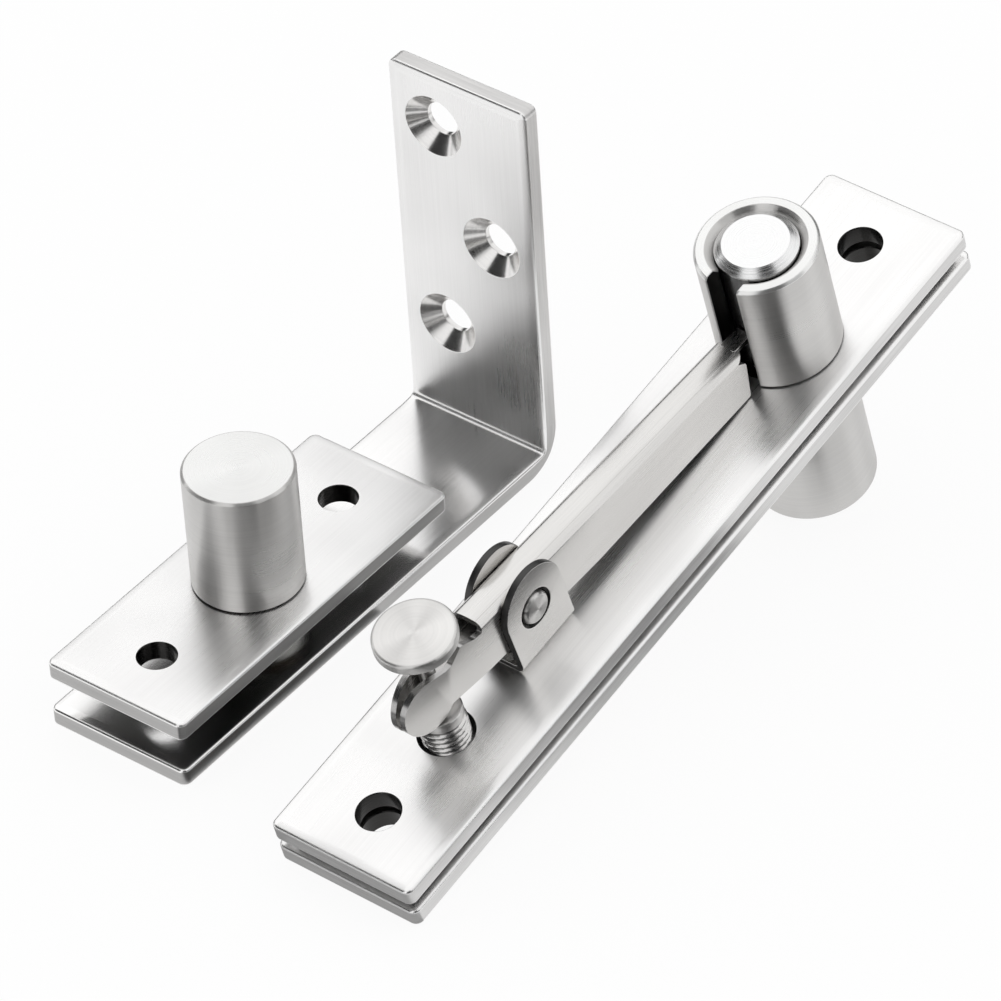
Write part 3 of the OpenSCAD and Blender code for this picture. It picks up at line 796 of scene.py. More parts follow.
@dataclass
class LowerPivot:
    """The lower pivot: angle bracket, door plate and closed barrel. Its frame is the row frame.

    Sizes are in millimetres. Heights with the word under or top are measured from the ground.
    """

    finishes: Finishes
    stock: Stock = Stock()
    arm_reach: float = 29.7
    leg_x: float = 51.5
    leg_h: float = 63.3
    outer_r: float = 7.0
    inner_r: float = 0.8
    bend_steps: int = 28
    hole_d: float = 5.2
    sink_d: float = 9.8
    sink_land: float = 0.9
    hole_top: float = 8.8
    hole_pitch: float = 17.6
    hole_offset: float = 4.5
    stud_d: float = 8.0
    stud_head_d: float = 11.0
    plate_l: float = 59.0
    plate_under: float = 8.2
    plate_hole_pitch: float = 40.0
    plate_hole_d: float = 5.6
    barrel_d: float = 16.0
    barrel_h: float = 19.7
    chamfer: float = 0.35
    rim_r: float = 0.2
    foot_chamfer: float = 0.3
    spigot_d: float = 12.0
    bush_d: float = 10.0
    bush_top: float = 24.5
    place: np.ndarray = field(default_factory=lambda: np.eye(4))

    def build(self) -> None:
        """Builds the three pieces."""
        self.bracket()
        self.door_plate()
        self.barrel()

    def bend_start(self) -> float:
        """Where the outer curve of the bend begins on the arm."""
        return self.leg_x + self.stock.thickness - self.outer_r

    def arm_lift(self, flat: np.ndarray, height: np.ndarray) -> np.ndarray:
        """The arm seen from its free end, which is at its highest x: it is mirrored in x."""
        return np.stack([-flat[:, 0], flat[:, 1], height], 1)

    def leg_lift(self, flat: np.ndarray, height: np.ndarray) -> np.ndarray:
        """The leg: its length runs up z, and its heights are measured in from the outer face."""
        outer = self.leg_x + self.stock.thickness
        return np.stack([outer - height, flat[:, 1], flat[:, 0]], 1)

    def bracket(self) -> None:
        """The bracket: a panel for the arm, one for the leg and a bend between them."""
        made = Surface()
        stock = self.stock
        t, half = stock.thickness, stock.half
        r, head = self.stud_d / 2, self.stud_head_d / 2
        stud = Hole(0, 0, ((r, t), (r, head - r), (head, 0)))
        start = -self.bend_start()
        arm = Panel(lambda i: open_end(start, self.arm_reach, half, stock.corner, i), 0, t,
                    stock.edge, stock.roll, False, [stud], self.arm_lift)
        arm.build(made, face=Zone.SHADE)
        leg = Panel(lambda i: open_end(self.outer_r, self.leg_h, half, stock.corner, i), 0, t,
                    stock.edge, stock.roll, False, self.leg_holes(), self.leg_lift)
        leg.build(made)
        self.bend(made, arm.edge_profile(), arm.cuts())
        finishes = self.finishes.get("brushed", "folded", "countersunk", "rubbed")
        make_piece("angle_bracket", made, self.place, finishes, Body.FRAME_SIDE, "floor_bracket")

    def leg_holes(self) -> list[Hole]:
        """The three countersunk holes of the leg, of which the middle one stands to the other side."""
        sink, bore, edge, t = self.sink_d / 2, self.hole_d / 2, HOLE_CHAMFER, self.stock.thickness
        corners = [(sink + edge * 2, t), (sink, t), (bore, self.sink_land), (bore, edge), (bore + edge, 0)]
        wall = tuple(map(tuple, filleted(corners, [0, edge, edge, 0, 0])[1:]))
        heights = [self.leg_h - self.hole_top - i * self.hole_pitch for i in range(3)]
        return [Hole(height, side * self.hole_offset, wall, 96) for height, side in zip(heights, (1, -1, 1))]

    def bend(self, made: Surface, profile: np.ndarray, cuts: tuple[int, ...]) -> None:
        """The bend: every station joins a point of the outer curve to one of the inner curve.

        The outer curve is a quarter circle. The inner one is a straight stretch, a small quarter circle
        and another straight stretch, walked at an even pace. A point at height h of the section is
        outer + (inner - outer) h / thickness.

        Args:
            made: Takes the patches.
            profile: Inset and height along the strip's edge.
            cuts: Points of the profile at which the finish changes.
        """
        t, half = self.stock.thickness, self.stock.half
        start = self.bend_start()
        outer = arc((start, self.outer_r), self.outer_r, -90, 0, self.bend_steps)
        crease = [(start, t), (self.leg_x, t), (self.leg_x, self.outer_r)]
        line = filleted(crease, [0, self.inner_r, 0], 12)
        pace = line_lengths(line)
        even = np.linspace(0, pace[-1], len(outer))
        inner = np.stack([np.interp(even, pace, line[:, i]) for i in (0, 1)], 1)
        run = line_lengths((outer + inner) / 2)[:, None] + self.leg_x + t
        split = int(np.sum((even[:-1] + even[1:]) / 2 < pace[1]))
        middle = outer[:, None] + (inner - outer)[:, None] * (profile[:, 1] / t)[None, :, None]
        grain = pairs(line_lengths(profile)[None], run)
        for side in (-1, 1):
            y = np.broadcast_to(side * (half - profile[:, 0]), middle.shape[:2])
            points = np.stack([middle[..., 0], y, middle[..., 1]], -1)
            for part, face in ((slice(0, split + 1), Zone.SHADE), (slice(split, None), Zone.FACE)):
                Panel.bands(made, points[part], grain[part], cuts, face)
        y = np.array([[-1, 1]]) * (half - profile[0, 0])
        on_arm = np.where(np.arange(len(even) - 1) < split, Zone.SHADE, Zone.FACE)
        for curve, finish in ((inner, on_arm), (outer, Zone.FACE)):
            points = np.stack(np.broadcast_arrays(curve[:, :1], y, curve[:, 1:]), -1)
            made.grid(points, pairs(y, run), finish)

    def door_plate(self) -> None:
        """The short door plate with two screw holes and the seat of the barrel's spigot."""
        low, high = self.plate_under, self.plate_under + self.stock.thickness
        r = self.spigot_d / 2
        holes = [plain_hole(s * self.plate_hole_pitch / 2, 0, self.plate_hole_d, low, high) for s in (-1, 1)]
        holes.append(Hole(0, 0, ((r, high), (r, low))))
        made = Surface()
        Panel(self.stock.outline(-self.plate_l / 2, self.plate_l / 2), low, high, self.stock.edge,
              self.stock.roll, True, holes, flat_lift).build(made, shaded=-1)
        # The hole walls and the underside take painted shade, and the edges a darker copy of the edge steel,
        # also painted shade.
        finishes = self.finishes.get("brushed", "plate_edge_shade", "drilled", "shaded")
        make_piece("door_plate_lower", made, self.place, finishes, Body.LOWER_LEAF,
                   "lower_door_plate")

    def barrel(self) -> None:
        """The closed barrel: faced top, broken edge, turned side, spigot and blind bore."""
        under, foot = self.plate_under, self.plate_under + self.stock.thickness
        top, c, r, low = foot + self.barrel_h, self.chamfer, self.barrel_d / 2, self.foot_chamfer
        spigot, bore = self.spigot_d / 2, self.bush_d / 2
        rim = filleted([(r - c * 3, top), (r - c, top), (r, top - c), (r, top - c * 3)],
                       [0, self.rim_r, self.rim_r, 0])
        made = Surface()
        revolve(made, [(0, top), rim[1]], Zone.FACE)
        revolve(made, rim[1:], Zone.SIDE)
        revolve(made, [rim[-1], (r, foot + low)], Zone.SIDE)
        # The foot's chamfer and the spigot take the near-black bore steel: painted shade at the foot.
        revolve(made, [(r, foot + low), (r - low, foot), (spigot, foot), (spigot, under)], Zone.BORE)
        revolve(made, [(spigot, under), (bore, under), (bore, self.bush_top), (0, self.bush_top)], Zone.SIDE)
        make_piece("closed_barrel", made, self.place, self.finishes.get("faced", "turned", "drilled"),
                   Body.LOWER_LEAF, "lower_barrel")


@dataclass
class UpperPivot:
    """The upper pivot, in its own frame: x from the strips' near end, z from the frame plate's top.

    Sizes are in millimetres, and yaw and tilt in degrees.
    """

    finishes: Finishes
    stock: Stock = Stock()
    near_x: float = -34.9
    side_y: float = -43.088304
    rest_z: float = 7.306672
    yaw: float = 1.0
    tilt: float = 13.0374236
    plate_l: float = 130.0
    hole_inset: float = 9.0
    frame_hole_d: float = 6.3
    door_hole_d: float = 6.7
    gap: float = 1.5
    pin_x: float = 101.8
    pin_d: float = 12.0
    pin_top: float = 20.9
    pin_cone: float = 1.0
    pin_shade: float = 0.3
    pin_face_tone: float = 0.88
    # Painted shade: the pin's shank below the end face is darkened to 0.3.
    pin_shank_painted_shade: float = 0.3
    bore_d: float = 12.1
    barrel_d: float = 17.7
    barrel_h: float = 20.3
    slot_w: float = 5.1
    mouth_d: float = 14.4
    mouth_depth: float = 1.2
    mouth_r: float = 0.3
    rim_r: float = 0.2
    rim_steps: int = 4
    foot_chamfer: float = 0.3
    slot_ease: float = 0.2
    slot_steps: int = 5
    barrel_steps: int = 190
    spigot_d: float = 15.0
    chamfer: float = 0.4
    socket_d: float = 17.9
    socket_l: float = 21.5
    socket_rim_r: float = 0.05
    socket_chamfer: float = 0.2
    socket_bore_d: float = 13.8
    socket_bore_end: float = -18.5
    screw_x: float = 24.2
    screw_d: float = 7.0
    screw_hole_d: float = 7.1
    screw_sink_d: float = 8.3
    screw_top: float = 22.0
    head_d: float = 11.9
    head_t: float = 1.7
    head_r: float = 0.45
    head_rim: float = 1.5
    head_under_r: float = 0.3
    head_under_rim: float = 1.2
    dimple_d: float = 1.2
    dimple_depth: float = 0.04
    neck_d: float = 2.4
    shank_top: float = 3.8
    shank_tip: float = -2.9
    pitch: float = 1.0
    thread_depth: float = 0.6
    thread_flat: float = 0.1
    root_depth: float = 0.75
    tip_chamfer: float = 0.6
    thread_steps: int = 96
    access_d: float = 8.4
    collar_d: float = 6.6
    collar_top: float = 5.38
    collar_bore_d: float = 2.7
    collar_play: float = 0.03
    collar_radii: tuple[float, ...] = (0, 0.1, 0.15, 0.2, 0.1, 0)
    rivet_x: float = 42.5
    rivet_z: float = 8.8
    rivet_d: float = 5.0
    rivet_reach: float = 4.15
    rivet_dome: float = 0.12
    rivet_rim: float = 0.3
    rivet_rim_r: float = 0.5
    rivet_side: float = 0.7
    foot_rivet_d: float = 2.4
    foot_rivet_head_d: float = 4.0
    foot_rivet_offset: float = 3.2

    @property
    def place(self) -> np.ndarray:
        """Matrix from the upper pivot's frame to the row frame."""
        return shift(self.near_x, self.side_y, self.rest_z) @ turn("Z", -self.yaw) @ turn("Y", -self.tilt)

    def build(self) -> None:
        """Builds the pieces of the upper pivot."""
        self.frame_plate()
        self.door_plate()
        self.slotted_barrel()
        self.socket()
        self.pin()
        self.screw()
        self.collar()
        self.rivet()

    def strip(self, name: str, low: float, holes: list[Hole], body: Body, node: str, shaded: int) -> None:
        """One of the two long strips.

        Args:
            name: Name of the piece.
            low: Height of its underside.
            holes: Its holes.
            body: The body that it rides on.
            node: The node that it stands for.
            shaded: 1 or -1 where its top or its underside faces the other strip and takes painted shade.
        """
        made = Surface()
        Panel(self.stock.outline(0, self.plate_l), low, low + self.stock.thickness, self.stock.edge,
              self.stock.roll, True, holes, flat_lift).build(made, shaded=shaded)
        # The hole walls and the face towards the other strip take painted shade.
        finishes = self.finishes.get("brushed", "sheared", "drilled", "strip_gap_shade")
        make_piece(name, made, self.place, finishes, body, node)

    def end_holes(self, d: float, low: float) -> list[Hole]:
        """The fixing holes at both ends of a strip."""
        places = (self.hole_inset, self.plate_l - self.hole_inset)
        return [plain_hole(x, 0, d, low, low + self.stock.thickness) for x in places]

    def frame_plate(self) -> None:
        """The frame plate: fixing holes, chamfered tapped hole, barrel seat and rivet holes."""
        low = -self.stock.thickness
        seat, tap, sink = self.spigot_d / 2, self.screw_hole_d / 2, self.screw_sink_d / 2
        holes = self.end_holes(self.frame_hole_d, low)
        holes.append(Hole(self.pin_x, 0, ((seat, 0), (seat, low))))
        holes.append(Hole(self.screw_x, 0, ((sink, 0), (tap, tap - sink), (tap, low))))
        r, head = self.foot_rivet_d / 2, self.foot_rivet_head_d / 2
        for side in (-1, 1):
            holes.append(Hole(self.rivet_x + side * self.foot_rivet_offset, 0,
                              ((r, 0), (r, low + head - r), (head, low)), 24))
        self.strip("frame_strip", low, holes, Body.FRAME_SIDE, "frame_plate", -1)

    def door_plate(self) -> None:
        """The door plate: fixing holes, socket seat and the clearance hole of the screw."""
        low = -2 * self.stock.thickness - self.gap
        seat = self.spigot_d / 2
        holes = self.end_holes(self.door_hole_d, low)
        holes.append(Hole(self.pin_x, 0, ((seat, low + self.stock.thickness), (seat, low))))
        holes.append(plain_hole(self.screw_x, 0, self.access_d, low, low + self.stock.thickness))
        self.strip("door_strip", low, holes, Body.UPPER_LEAF, "upper_door_plate", 1)

    def slotted_barrel(self) -> None:
        """The slotted barrel: its section is carried round the axis from one wall of the slot to the other.

        At radius r the section stands at arcsin((slot / 2 + ease) / r) from the slot's middle, so the walls
        are flat and parallel. Over the last steps at each end, with q from 90 degrees to 0, it comes nearer
        by ease cos q and is drawn in by ease (1 - sin q), which rounds the slot's edges. Below the plate's
        top the slot is filled. The finish changes after the foot's chamfer, the side, the rim and the cone.
        """
        c, r, bore, h = self.chamfer, self.barrel_d / 2, self.bore_d / 2, self.barrel_h
        foot, rim = self.foot_chamfer, self.rim_r
        corners = [(r - foot, 0.0), (r, foot), (r, h - c), (r - c, h), (self.mouth_d / 2, h),
                   (bore, h - self.mouth_depth), (bore, 0.0)]
        section = filleted(corners, [0, 0, rim, rim, rim, self.mouth_r, 0], self.rim_steps)
        off_middle = section[:, 0] - (r + bore) / 2
        sideways = np.sign(off_middle) * (np.abs(off_middle) > (r - bore) / 4)
        upwards = np.where(section[:, 1] > h - 2 * self.mouth_depth, 1.0, 0.0)
        q = np.radians(np.linspace(0, 90, self.slot_steps))[:, None]
        inset = self.slot_ease * (1 - np.sin(q))
        drawn = section[None] - inset[..., None] * np.stack([sideways, upwards], 1)[None]
        wall = np.arcsin((self.slot_w / 2 + self.slot_ease * (1 - np.cos(q))) / drawn[..., 0])
        plain = np.arcsin((self.slot_w / 2 + self.slot_ease) / section[:, 0])
        share = np.linspace(0, 1, self.barrel_steps)[:, None]
        sweep = plain + share * (FULL_TURN - 2 * plain)
        a = np.concatenate([wall, sweep, (FULL_TURN - wall)[::-1]]) + math.pi
        rings = np.concatenate([drawn, np.broadcast_to(section, (len(share), *section.shape)), drawn[::-1]])
        points = np.stack([rings[..., 0] * np.cos(a), rings[..., 0] * np.sin(a), rings[..., 1]], -1)
        points[..., 0] += self.pin_x
        grain = pairs(line_lengths(section)[None], a * r)
        made = Surface()
        cone = 2 + 2 * (self.rim_steps + 1)
        starts = (0, 1, 2, cone, cone + self.rim_steps + 1, len(section) - 1)
        # The foot's chamfer and the bore take the near-black bore steel, which is painted shade.
        zones = (Zone.BORE, Zone.SIDE, Zone.FACE, Zone.SIDE, Zone.BORE)
        for begin, end, zone in zip(starts[:-1], starts[1:], zones):
            made.grid(points[:, begin:end + 1], grain[:, begin:end + 1], zone)
        # The slot's walls take the same near-black painted shade.
        for side in (-1, 1):
            made.fill([drawn[0]], self.slot_lift(side), Zone.BORE)
        seat, low = self.spigot_d / 2, -self.stock.thickness
        revolve(made, [(bore, 0.0), (bore, low), (seat, low), (seat, 0.0), (bore, 0.0)], Zone.BORE,
                matrix=shift(self.pin_x))
        make_piece("pin_barrel", made, self.place, self.finishes.get("faced", "turned", "drilled"),
                   Body.FRAME_SIDE, "slotted_barrel")

    def slot_lift(self, side: int) -> Callable:
        """The slot's wall at one side, as a function of points (radius, height) on it.

        Args:
            side: 1 or -1.

        Returns:
            A function that gives the points' places in space.
        """
        def lift(flat: np.ndarray) -> np.ndarray:
            """The wall stands at y, so the point's x is the root of radius squared less y squared."""
            y = side * self.slot_w / 2
            x = self.pin_x - np.sqrt(flat[:, 0] ** 2 - y ** 2)
            return np.stack([x, np.full(len(flat), y), flat[:, 1]], 1)
        return lift

    def socket(self) -> None:
        """The socket barrel under the door plate: turned side, faced end and blind bore."""
        top = -self.stock.thickness - self.gap
        under = top - self.stock.thickness
        end, c, r = under - self.socket_l, self.chamfer, self.socket_d / 2
        seat, bore, low = self.spigot_d / 2, self.socket_bore_d / 2, self.socket_chamfer
        axis = shift(self.pin_x)
        made = Surface()
        rim = filleted([(r, end + 3 * c), (r, end), (r - 3 * c, end)], [0, self.socket_rim_r, 0])
        side = [(bore, top), (seat, top), (seat, under), (r - low, under), (r, under - low), rim[0]]
        revolve(made, side, Zone.SIDE, matrix=axis)
        revolve(made, rim, Zone.SIDE, matrix=axis)
        revolve(made, [rim[-1], (0, end)], Zone.FACE, matrix=axis)
        revolve(made, [(bore, top), (bore, self.socket_bore_end), (0, self.socket_bore_end)], Zone.SIDE,
                matrix=axis)
        make_piece("closed_socket", made, self.place, self.finishes.get("faced", "turned"),
                   Body.UPPER_LEAF, "socket_barrel")

    def pin(self) -> None:
        """Dresses the sliding pin, which keeps its own notched mesh: a paler end face, and a dark shank
        below it as painted shade.
        """
        end = self.pin_top - self.pin_cone - self.pin_shade
        face = TurnedFace("pin_face_shaded_shank", (self.pin_face_tone,) * 3, (self.pin_shank_painted_shade,) * 3, end,
                          self.place @ shift(self.pin_x))
        dress_node("sliding_pin", face.material())

    def screw(self) -> None:
        """The adjusting screw: faced head, neck and threaded shank."""
        axis = shift(self.screw_x)
        r, top, under = self.head_d / 2, self.screw_top, self.screw_top - self.head_t
        neck, root = self.neck_d / 2, self.screw_d / 2 - self.root_depth
        rim = filleted([(r - self.head_rim, top), (r, top), (r, under), (r - self.head_under_rim, under)],
                       [0, self.head_r, self.head_under_r, 0], 6)
        made = Surface()
        dimple = [(0, top - self.dimple_depth), (self.dimple_d / 2, top), rim[1]]
        revolve(made, dimple, Zone.FACE, matrix=axis)
        revolve(made, rim[1:], Zone.SIDE, matrix=axis)
        revolve(made, [rim[-1], (neck, under), (neck, self.shank_top), (root, self.shank_top)], Zone.SIDE,
                matrix=axis)
        self.thread(made)
        revolve(made, [(root, self.shank_tip), (0, self.shank_tip)], Zone.SIDE, self.thread_steps, axis)
        finishes = self.finishes.get("knob", "turned", "threaded", "root")
        make_piece("flat_head_screw", made, self.place, finishes, Body.SCREW, "adjusting_screw")

    def thread(self, made: Surface) -> None:
        """Adds the shank, whose radius follows a helix.

        At angle a and height z the phase is twice the distance of z / pitch - a / full turn, less its whole
        number, from a half. The radius is the outer one less the thread's depth times the phase, which is
        stretched and cut so that crests and roots are flat. At both ends the shank narrows to the root.
        """
        low, high, shank = self.shank_tip, self.shank_top, self.screw_d / 2
        a = np.linspace(0, FULL_TURN, self.thread_steps + 1)[:, None]
        z = np.linspace(low, high, self.thread_steps + 1)[None]
        phase = np.abs((z / self.pitch - a / FULL_TURN) % 1.0 - 0.5) * 2
        deepest = self.thread_depth * self.pitch
        depth = deepest * np.clip((1 + 2 * self.thread_flat) * phase - self.thread_flat, 0, 1)
        ends = np.clip(np.minimum(z - low, high - z) / self.tip_chamfer, 0, 1)
        root = shank - self.root_depth
        radius = np.minimum(shank - depth, root + (shank - root) * ends)
        points = np.stack([self.screw_x + radius * np.cos(a), radius * np.sin(a), z + 0 * a], -1)
        # Faces deep in the groove take the darker root steel, which is painted shade.
        deep = (depth[:-1, :-1] + depth[1:, 1:]) / 2 > deepest / 2
        made.grid(points, pairs(z, a * shank), np.where(deep, Thread.SHADED_ROOT, Thread.CREST).ravel())

    def collar(self) -> None:
        """The loose collar on the screw's neck."""
        r, bore = self.collar_d / 2, self.collar_bore_d / 2
        low, high = self.shank_top + self.collar_play, self.collar_top
        seam = (bore, (low + high) / 2)
        corners = [seam, (bore, low), (r, low), (r, high), (bore, high), seam]
        profile = filleted(corners, self.collar_radii, 3)
        made = Surface()
        revolve(made, profile, matrix=shift(self.screw_x))
        make_piece("loose_collar", made, self.place, self.finishes.get("turned"), Body.COLLAR,
                   "thrust_collar")

    def rivet(self) -> None:
        """The lever rivet, whose ends are slightly domed."""
        r, reach = self.rivet_d / 2, self.rivet_reach
        end = filleted([(0.0, reach), (r - self.rivet_rim, reach - self.rivet_dome),
                        (r, reach - self.rivet_side)], [0, self.rivet_rim_r, 0])
        made = Surface()
        revolve(made, np.concatenate([end, end[::-1] * (1, -1)]), steps=64,
                matrix=shift(self.rivet_x, 0, self.rivet_z) @ turn("X", 90))
        make_piece("fulcrum_rivet", made, self.place, self.finishes.get("turned"), Body.FRAME_SIDE,
                   "lever_rivet")


@dataclass
class Linkage:
    """The lever and its clevis, in the frames of the rivet: x runs to the barrel and z is up.

    The clevis keeps level with the strips. The lever is turned about the rivet by its rise. Sizes are in
    millimetres, and rise and lean in degrees. The brow is the step from the web down to the fork.
    """

    finishes: Finishes
    upper: UpperPivot
    rise: float = 5.93
    width: float = 5.0
    sheet: float = 0.9
    shoulder: float = 1.2
    top: float = 5.05
    near: float = 9.6
    end_gap: float = 1.2
    corner: float = 1.6
    cheek_far: float = 3.5
    belly: float = 4.7
    belly_at: float = 15.0
    cheek_near: float = 4.2
    brow_foot: float = 3.35
    brow: tuple[tuple[float, float], ...] = ((-11.2, 3.5), (-14.0, 4.75), (-16.2, 3.15))
    brow_end: float = 3.05
    brow_radii: tuple[float, ...] = (0, 0.15, 0.8, 1.0, 0.8, 0)
    end_cut: float = 1.0
    end_radii: tuple[float, ...] = (0, 0.7, 0.4, 0)
    tongue_w: float = 2.6
    tongue_bite: float = 3.3
    tongue_root: float = 0.8
    tongue_corner: float = 0.4
    tongue_edge: float = 0.1
    tongue_rise: float = 0.01
    tongue_drop: float = 0.02
    bend_at: float = 17.5
    lean: float = 9.0
    lobe_at: float = 21.2
    lobe_drop: float = 1.0
    lobe_r: float = 4.4
    lobe_end: float = -282.0
    rivet_hole_d: float = 5.1
    crown: float = 0.1
    crown_y: tuple[float, ...] = (-0.9, -0.3, 0.3, 0.9)
    groove_y: float = -1.47
    groove_w: float = 0.2
    groove_depth: float = 0.07
    ear_inner: float = 2.6
    ear_t: float = 1.1
    ear_r: float = 5.9
    ear_z: float = 10.0
    foot_far: float = 6.5
    foot_near: float = 5.2
    bend_r: float = 1.5
    sink_d: float = 6.2
    folded_edge: float = 0.12

    def build(self) -> None:
        """Builds the lever and the clevis."""
        self.lever()
        self.clevis()

    @property
    def far(self) -> float:
        """Distance from the rivet to the channel's end."""
        return self.run_to(self.upper.barrel_d / 2 + self.end_gap)

    @property
    def reach(self) -> float:
        """Distance from the rivet to the tongue's tip."""
        return self.run_to(self.upper.pin_d / 2 - self.tongue_bite)

    def run_to(self, short: float) -> float:
        """Length along the risen lever from the rivet to that much short of the pin's axis."""
        return (self.upper.pin_x - self.upper.rivet_x - short) / math.cos(math.radians(self.rise))

    @property
    def seam(self) -> float:
        """Height at which the cheeks meet the web."""
        return self.top - self.shoulder

    def lever(self) -> None:
        """The lever: a channel of sheet whose cheeks run on into a fork, and a tongue at its far end."""
        seam, near, far = self.seam, -self.near, self.far
        edge = math.sqrt(self.lobe_r ** 2 - (self.lobe_at - self.bend_at) ** 2)
        low = (-self.bend_at, -self.lobe_drop - edge)
        high = (-self.bend_at, self.brow_end)
        brow = filleted([(near, seam), (near, self.brow_foot), *self.brow, high], self.brow_radii, 4)
        far_edge = filleted([(far - self.corner, seam), (far, seam - self.end_cut), (far, -self.cheek_far),
                             (self.belly_at, -self.belly)], self.end_radii)
        cheek = np.concatenate([brow, [low, (near, -self.cheek_near)], far_edge[::-1]])
        start = math.degrees(math.atan2(-edge, self.lobe_at - self.bend_at))
        round_end = arc((-self.lobe_at, -self.lobe_drop), self.lobe_r, start, self.lobe_end, ARC_STEPS)
        lobe = np.concatenate([round_end, [high]])
        bore = arc((0, 0), self.rivet_hole_d / 2, 0, 360, BORE_STEPS)[:-1]
        made = Surface()
        for side in (-1, 1):
            self.cheek_plate(made, side, cheek, [bore])
            self.cheek_plate(made, side, lobe, [])
            self.sheet_band(made, side, closed(bore), line_lengths(closed(bore)))
        self.web(made)
        self.tongue(made)
        place = self.upper.place @ shift(self.upper.rivet_x, 0, self.upper.rivet_z) @ turn("Y", self.rise)
        make_piece("channel_lever", made, place, self.finishes.get("pressed", "sheared_sheet"),
                   Body.LEVER, "lever")

    def side_lift(self, side: int, inset: float) -> Callable:
        """One cheek's face, as a function of points (x, z) on it.

        Beyond the fork's bend the face leans inwards by the tangent of the lean per millimetre.

        Args:
            side: 1 or -1.
            inset: How far the face lies inside the cheek's outer one.

        Returns:
            A function that gives the points' places in space.
        """
        def lift(flat: np.ndarray) -> np.ndarray:
            """The place of each point, further in the more it lies past the bend."""
            past = np.maximum(0, -self.bend_at - flat[:, 0])
            y = self.width / 2 - inset - past * math.tan(math.radians(self.lean))
            return np.stack([flat[:, 0], side * y, flat[:, 1]], 1)
        return lift

    def cheek_plate(self, made: Surface, side: int, outline: np.ndarray, bores: list[np.ndarray]) -> None:
        """Adds the two faces of a flat cheek and the band of sheet edge round it.

        Args:
            made: Takes the patches.
            side: 1 or -1.
            outline: The closed outline in x and z.
            bores: Holes in it.
        """
        for inset in (0.0, self.sheet):
            made.fill([outline, *bores], self.side_lift(side, inset))
        ring = closed(outline)
        run = line_lengths(ring)
        for i in range(len(outline)):
            if not self.open_segment(ring[i], ring[i + 1]):
                self.sheet_band(made, side, ring[i:i + 2], run[i:i + 2])

    def sheet_band(self, made: Surface, side: int, line: np.ndarray, run: np.ndarray) -> None:
        """Adds the sheet's cut edge along a line of one cheek.

        Args:
            made: Takes the patch.
            side: 1 or -1.
            line: Points of the line in x and z.
            run: The second grain coordinate at each of them.
        """
        points = np.stack([self.side_lift(side, inset)(line) for inset in (0.0, self.sheet)], 1)
        made.grid(points, pairs(np.array([[0.0, self.sheet]]), run[:, None]), Zone.SIDE)

    def open_segment(self, a: np.ndarray, b: np.ndarray) -> bool:
        """True where a piece of outline joins other faces: at the seam under the web and at the fork's bend.

        Args:
            a: Its first point.
            b: Its second point.

        Returns:
            Whether it stays without a band.
        """
        on_seam = max(abs(a[1] - self.seam), abs(b[1] - self.seam)) < TINY
        on_bend = max(abs(a[0] + self.bend_at), abs(b[0] + self.bend_at)) < TINY
        return on_seam or on_bend

    def web_end(self, line: np.ndarray) -> np.ndarray:
        """Where the web ends at each point (y, z) of its section: rounded, and cut back at the seam.

        At distance y from the middle it lies at sqrt(corner^2 - (|y| - half + corner)^2) past the start
        of the round, which is one corner short of the channel's end.

        Args:
            line: Points of the section.

        Returns:
            The x of each.
        """
        start = self.far - self.corner
        over = np.clip(np.abs(line[:, 0]) - self.width / 2 + self.corner, 0, self.corner)
        return np.where(line[:, 1] <= self.seam + TINY, start, start + np.sqrt(self.corner ** 2 - over ** 2))

    def web(self, made: Surface) -> None:
        """The web: its section, crowned and with one fine groove, is carried along the lever.

        The crown lowers the section by its height times the square of the distance from the middle.
        """
        half, seam, r = self.width / 2, self.seam, self.shoulder
        inner_half, inner_top = half - self.sheet, self.top - self.sheet
        left, right = arc((-half + r, seam), r, 180, 90, 8), arc((half - r, seam), r, 90, 0, 8)
        middle = np.array([(y, self.top) for y in self.crown_y])
        groove_y = self.groove_y + self.groove_w / 2 * np.arange(-1, 2)
        groove = np.stack([groove_y, self.top - self.groove_depth * np.array([0, 1, 0])], 1)
        outer = np.concatenate([left[:-1], groove, middle, right])
        outer = outer[np.argsort(outer[:, 0], kind="stable")]
        bow = np.clip((np.abs(outer[:, 0]) / (half - r)) ** 2, 0, 1)
        outer[:, 1] -= self.crown * bow * np.clip((outer[:, 1] - seam) / r, 0, 1)
        inner = filleted([(-inner_half, seam), (-inner_half, inner_top), (inner_half, inner_top),
                          (inner_half, seam)], [0, r - self.sheet, r - self.sheet, 0], 4)
        for line in (outer, inner):
            x = np.stack([np.full(len(line), -self.near), self.web_end(line)])
            points = np.stack(np.broadcast_arrays(x, line[:, 0], line[:, 1]), -1)
            made.grid(points, pairs(line_lengths(line)[None], x))
        loop = np.concatenate([outer, inner[::-1]])
        for end in (lambda flat: np.full(len(flat), -self.near), self.web_end):
            made.fill([loop], lambda flat, end=end: np.concatenate([end(flat)[:, None], flat], 1), Zone.SIDE)

    def tongue(self, made: Surface) -> None:
        """The thin tongue that reaches through the slot into the pin."""
        start, half = self.far - self.tongue_root, self.tongue_w / 2
        panel = Panel(lambda i: rounded_rectangle(start, self.reach, -half, half, self.tongue_corner, i, 4),
                      self.top - self.sheet + self.tongue_rise, self.top - self.tongue_drop,
                      self.tongue_edge, lift=flat_lift)
        panel.build(made)

    def flank(self, z: np.ndarray) -> tuple[np.ndarray, np.ndarray]:
        """The near and the far side of the clevis, which lean in a straight line to the ears.

        Args:
            z: Heights.

        Returns:
            The x of the near side at each height, and that of the far side.
        """
        near = (self.ear_r - self.foot_near) / self.ear_z
        far = (self.foot_far - self.ear_r) / self.ear_z
        return -self.foot_near - near * z, self.foot_far - far * z

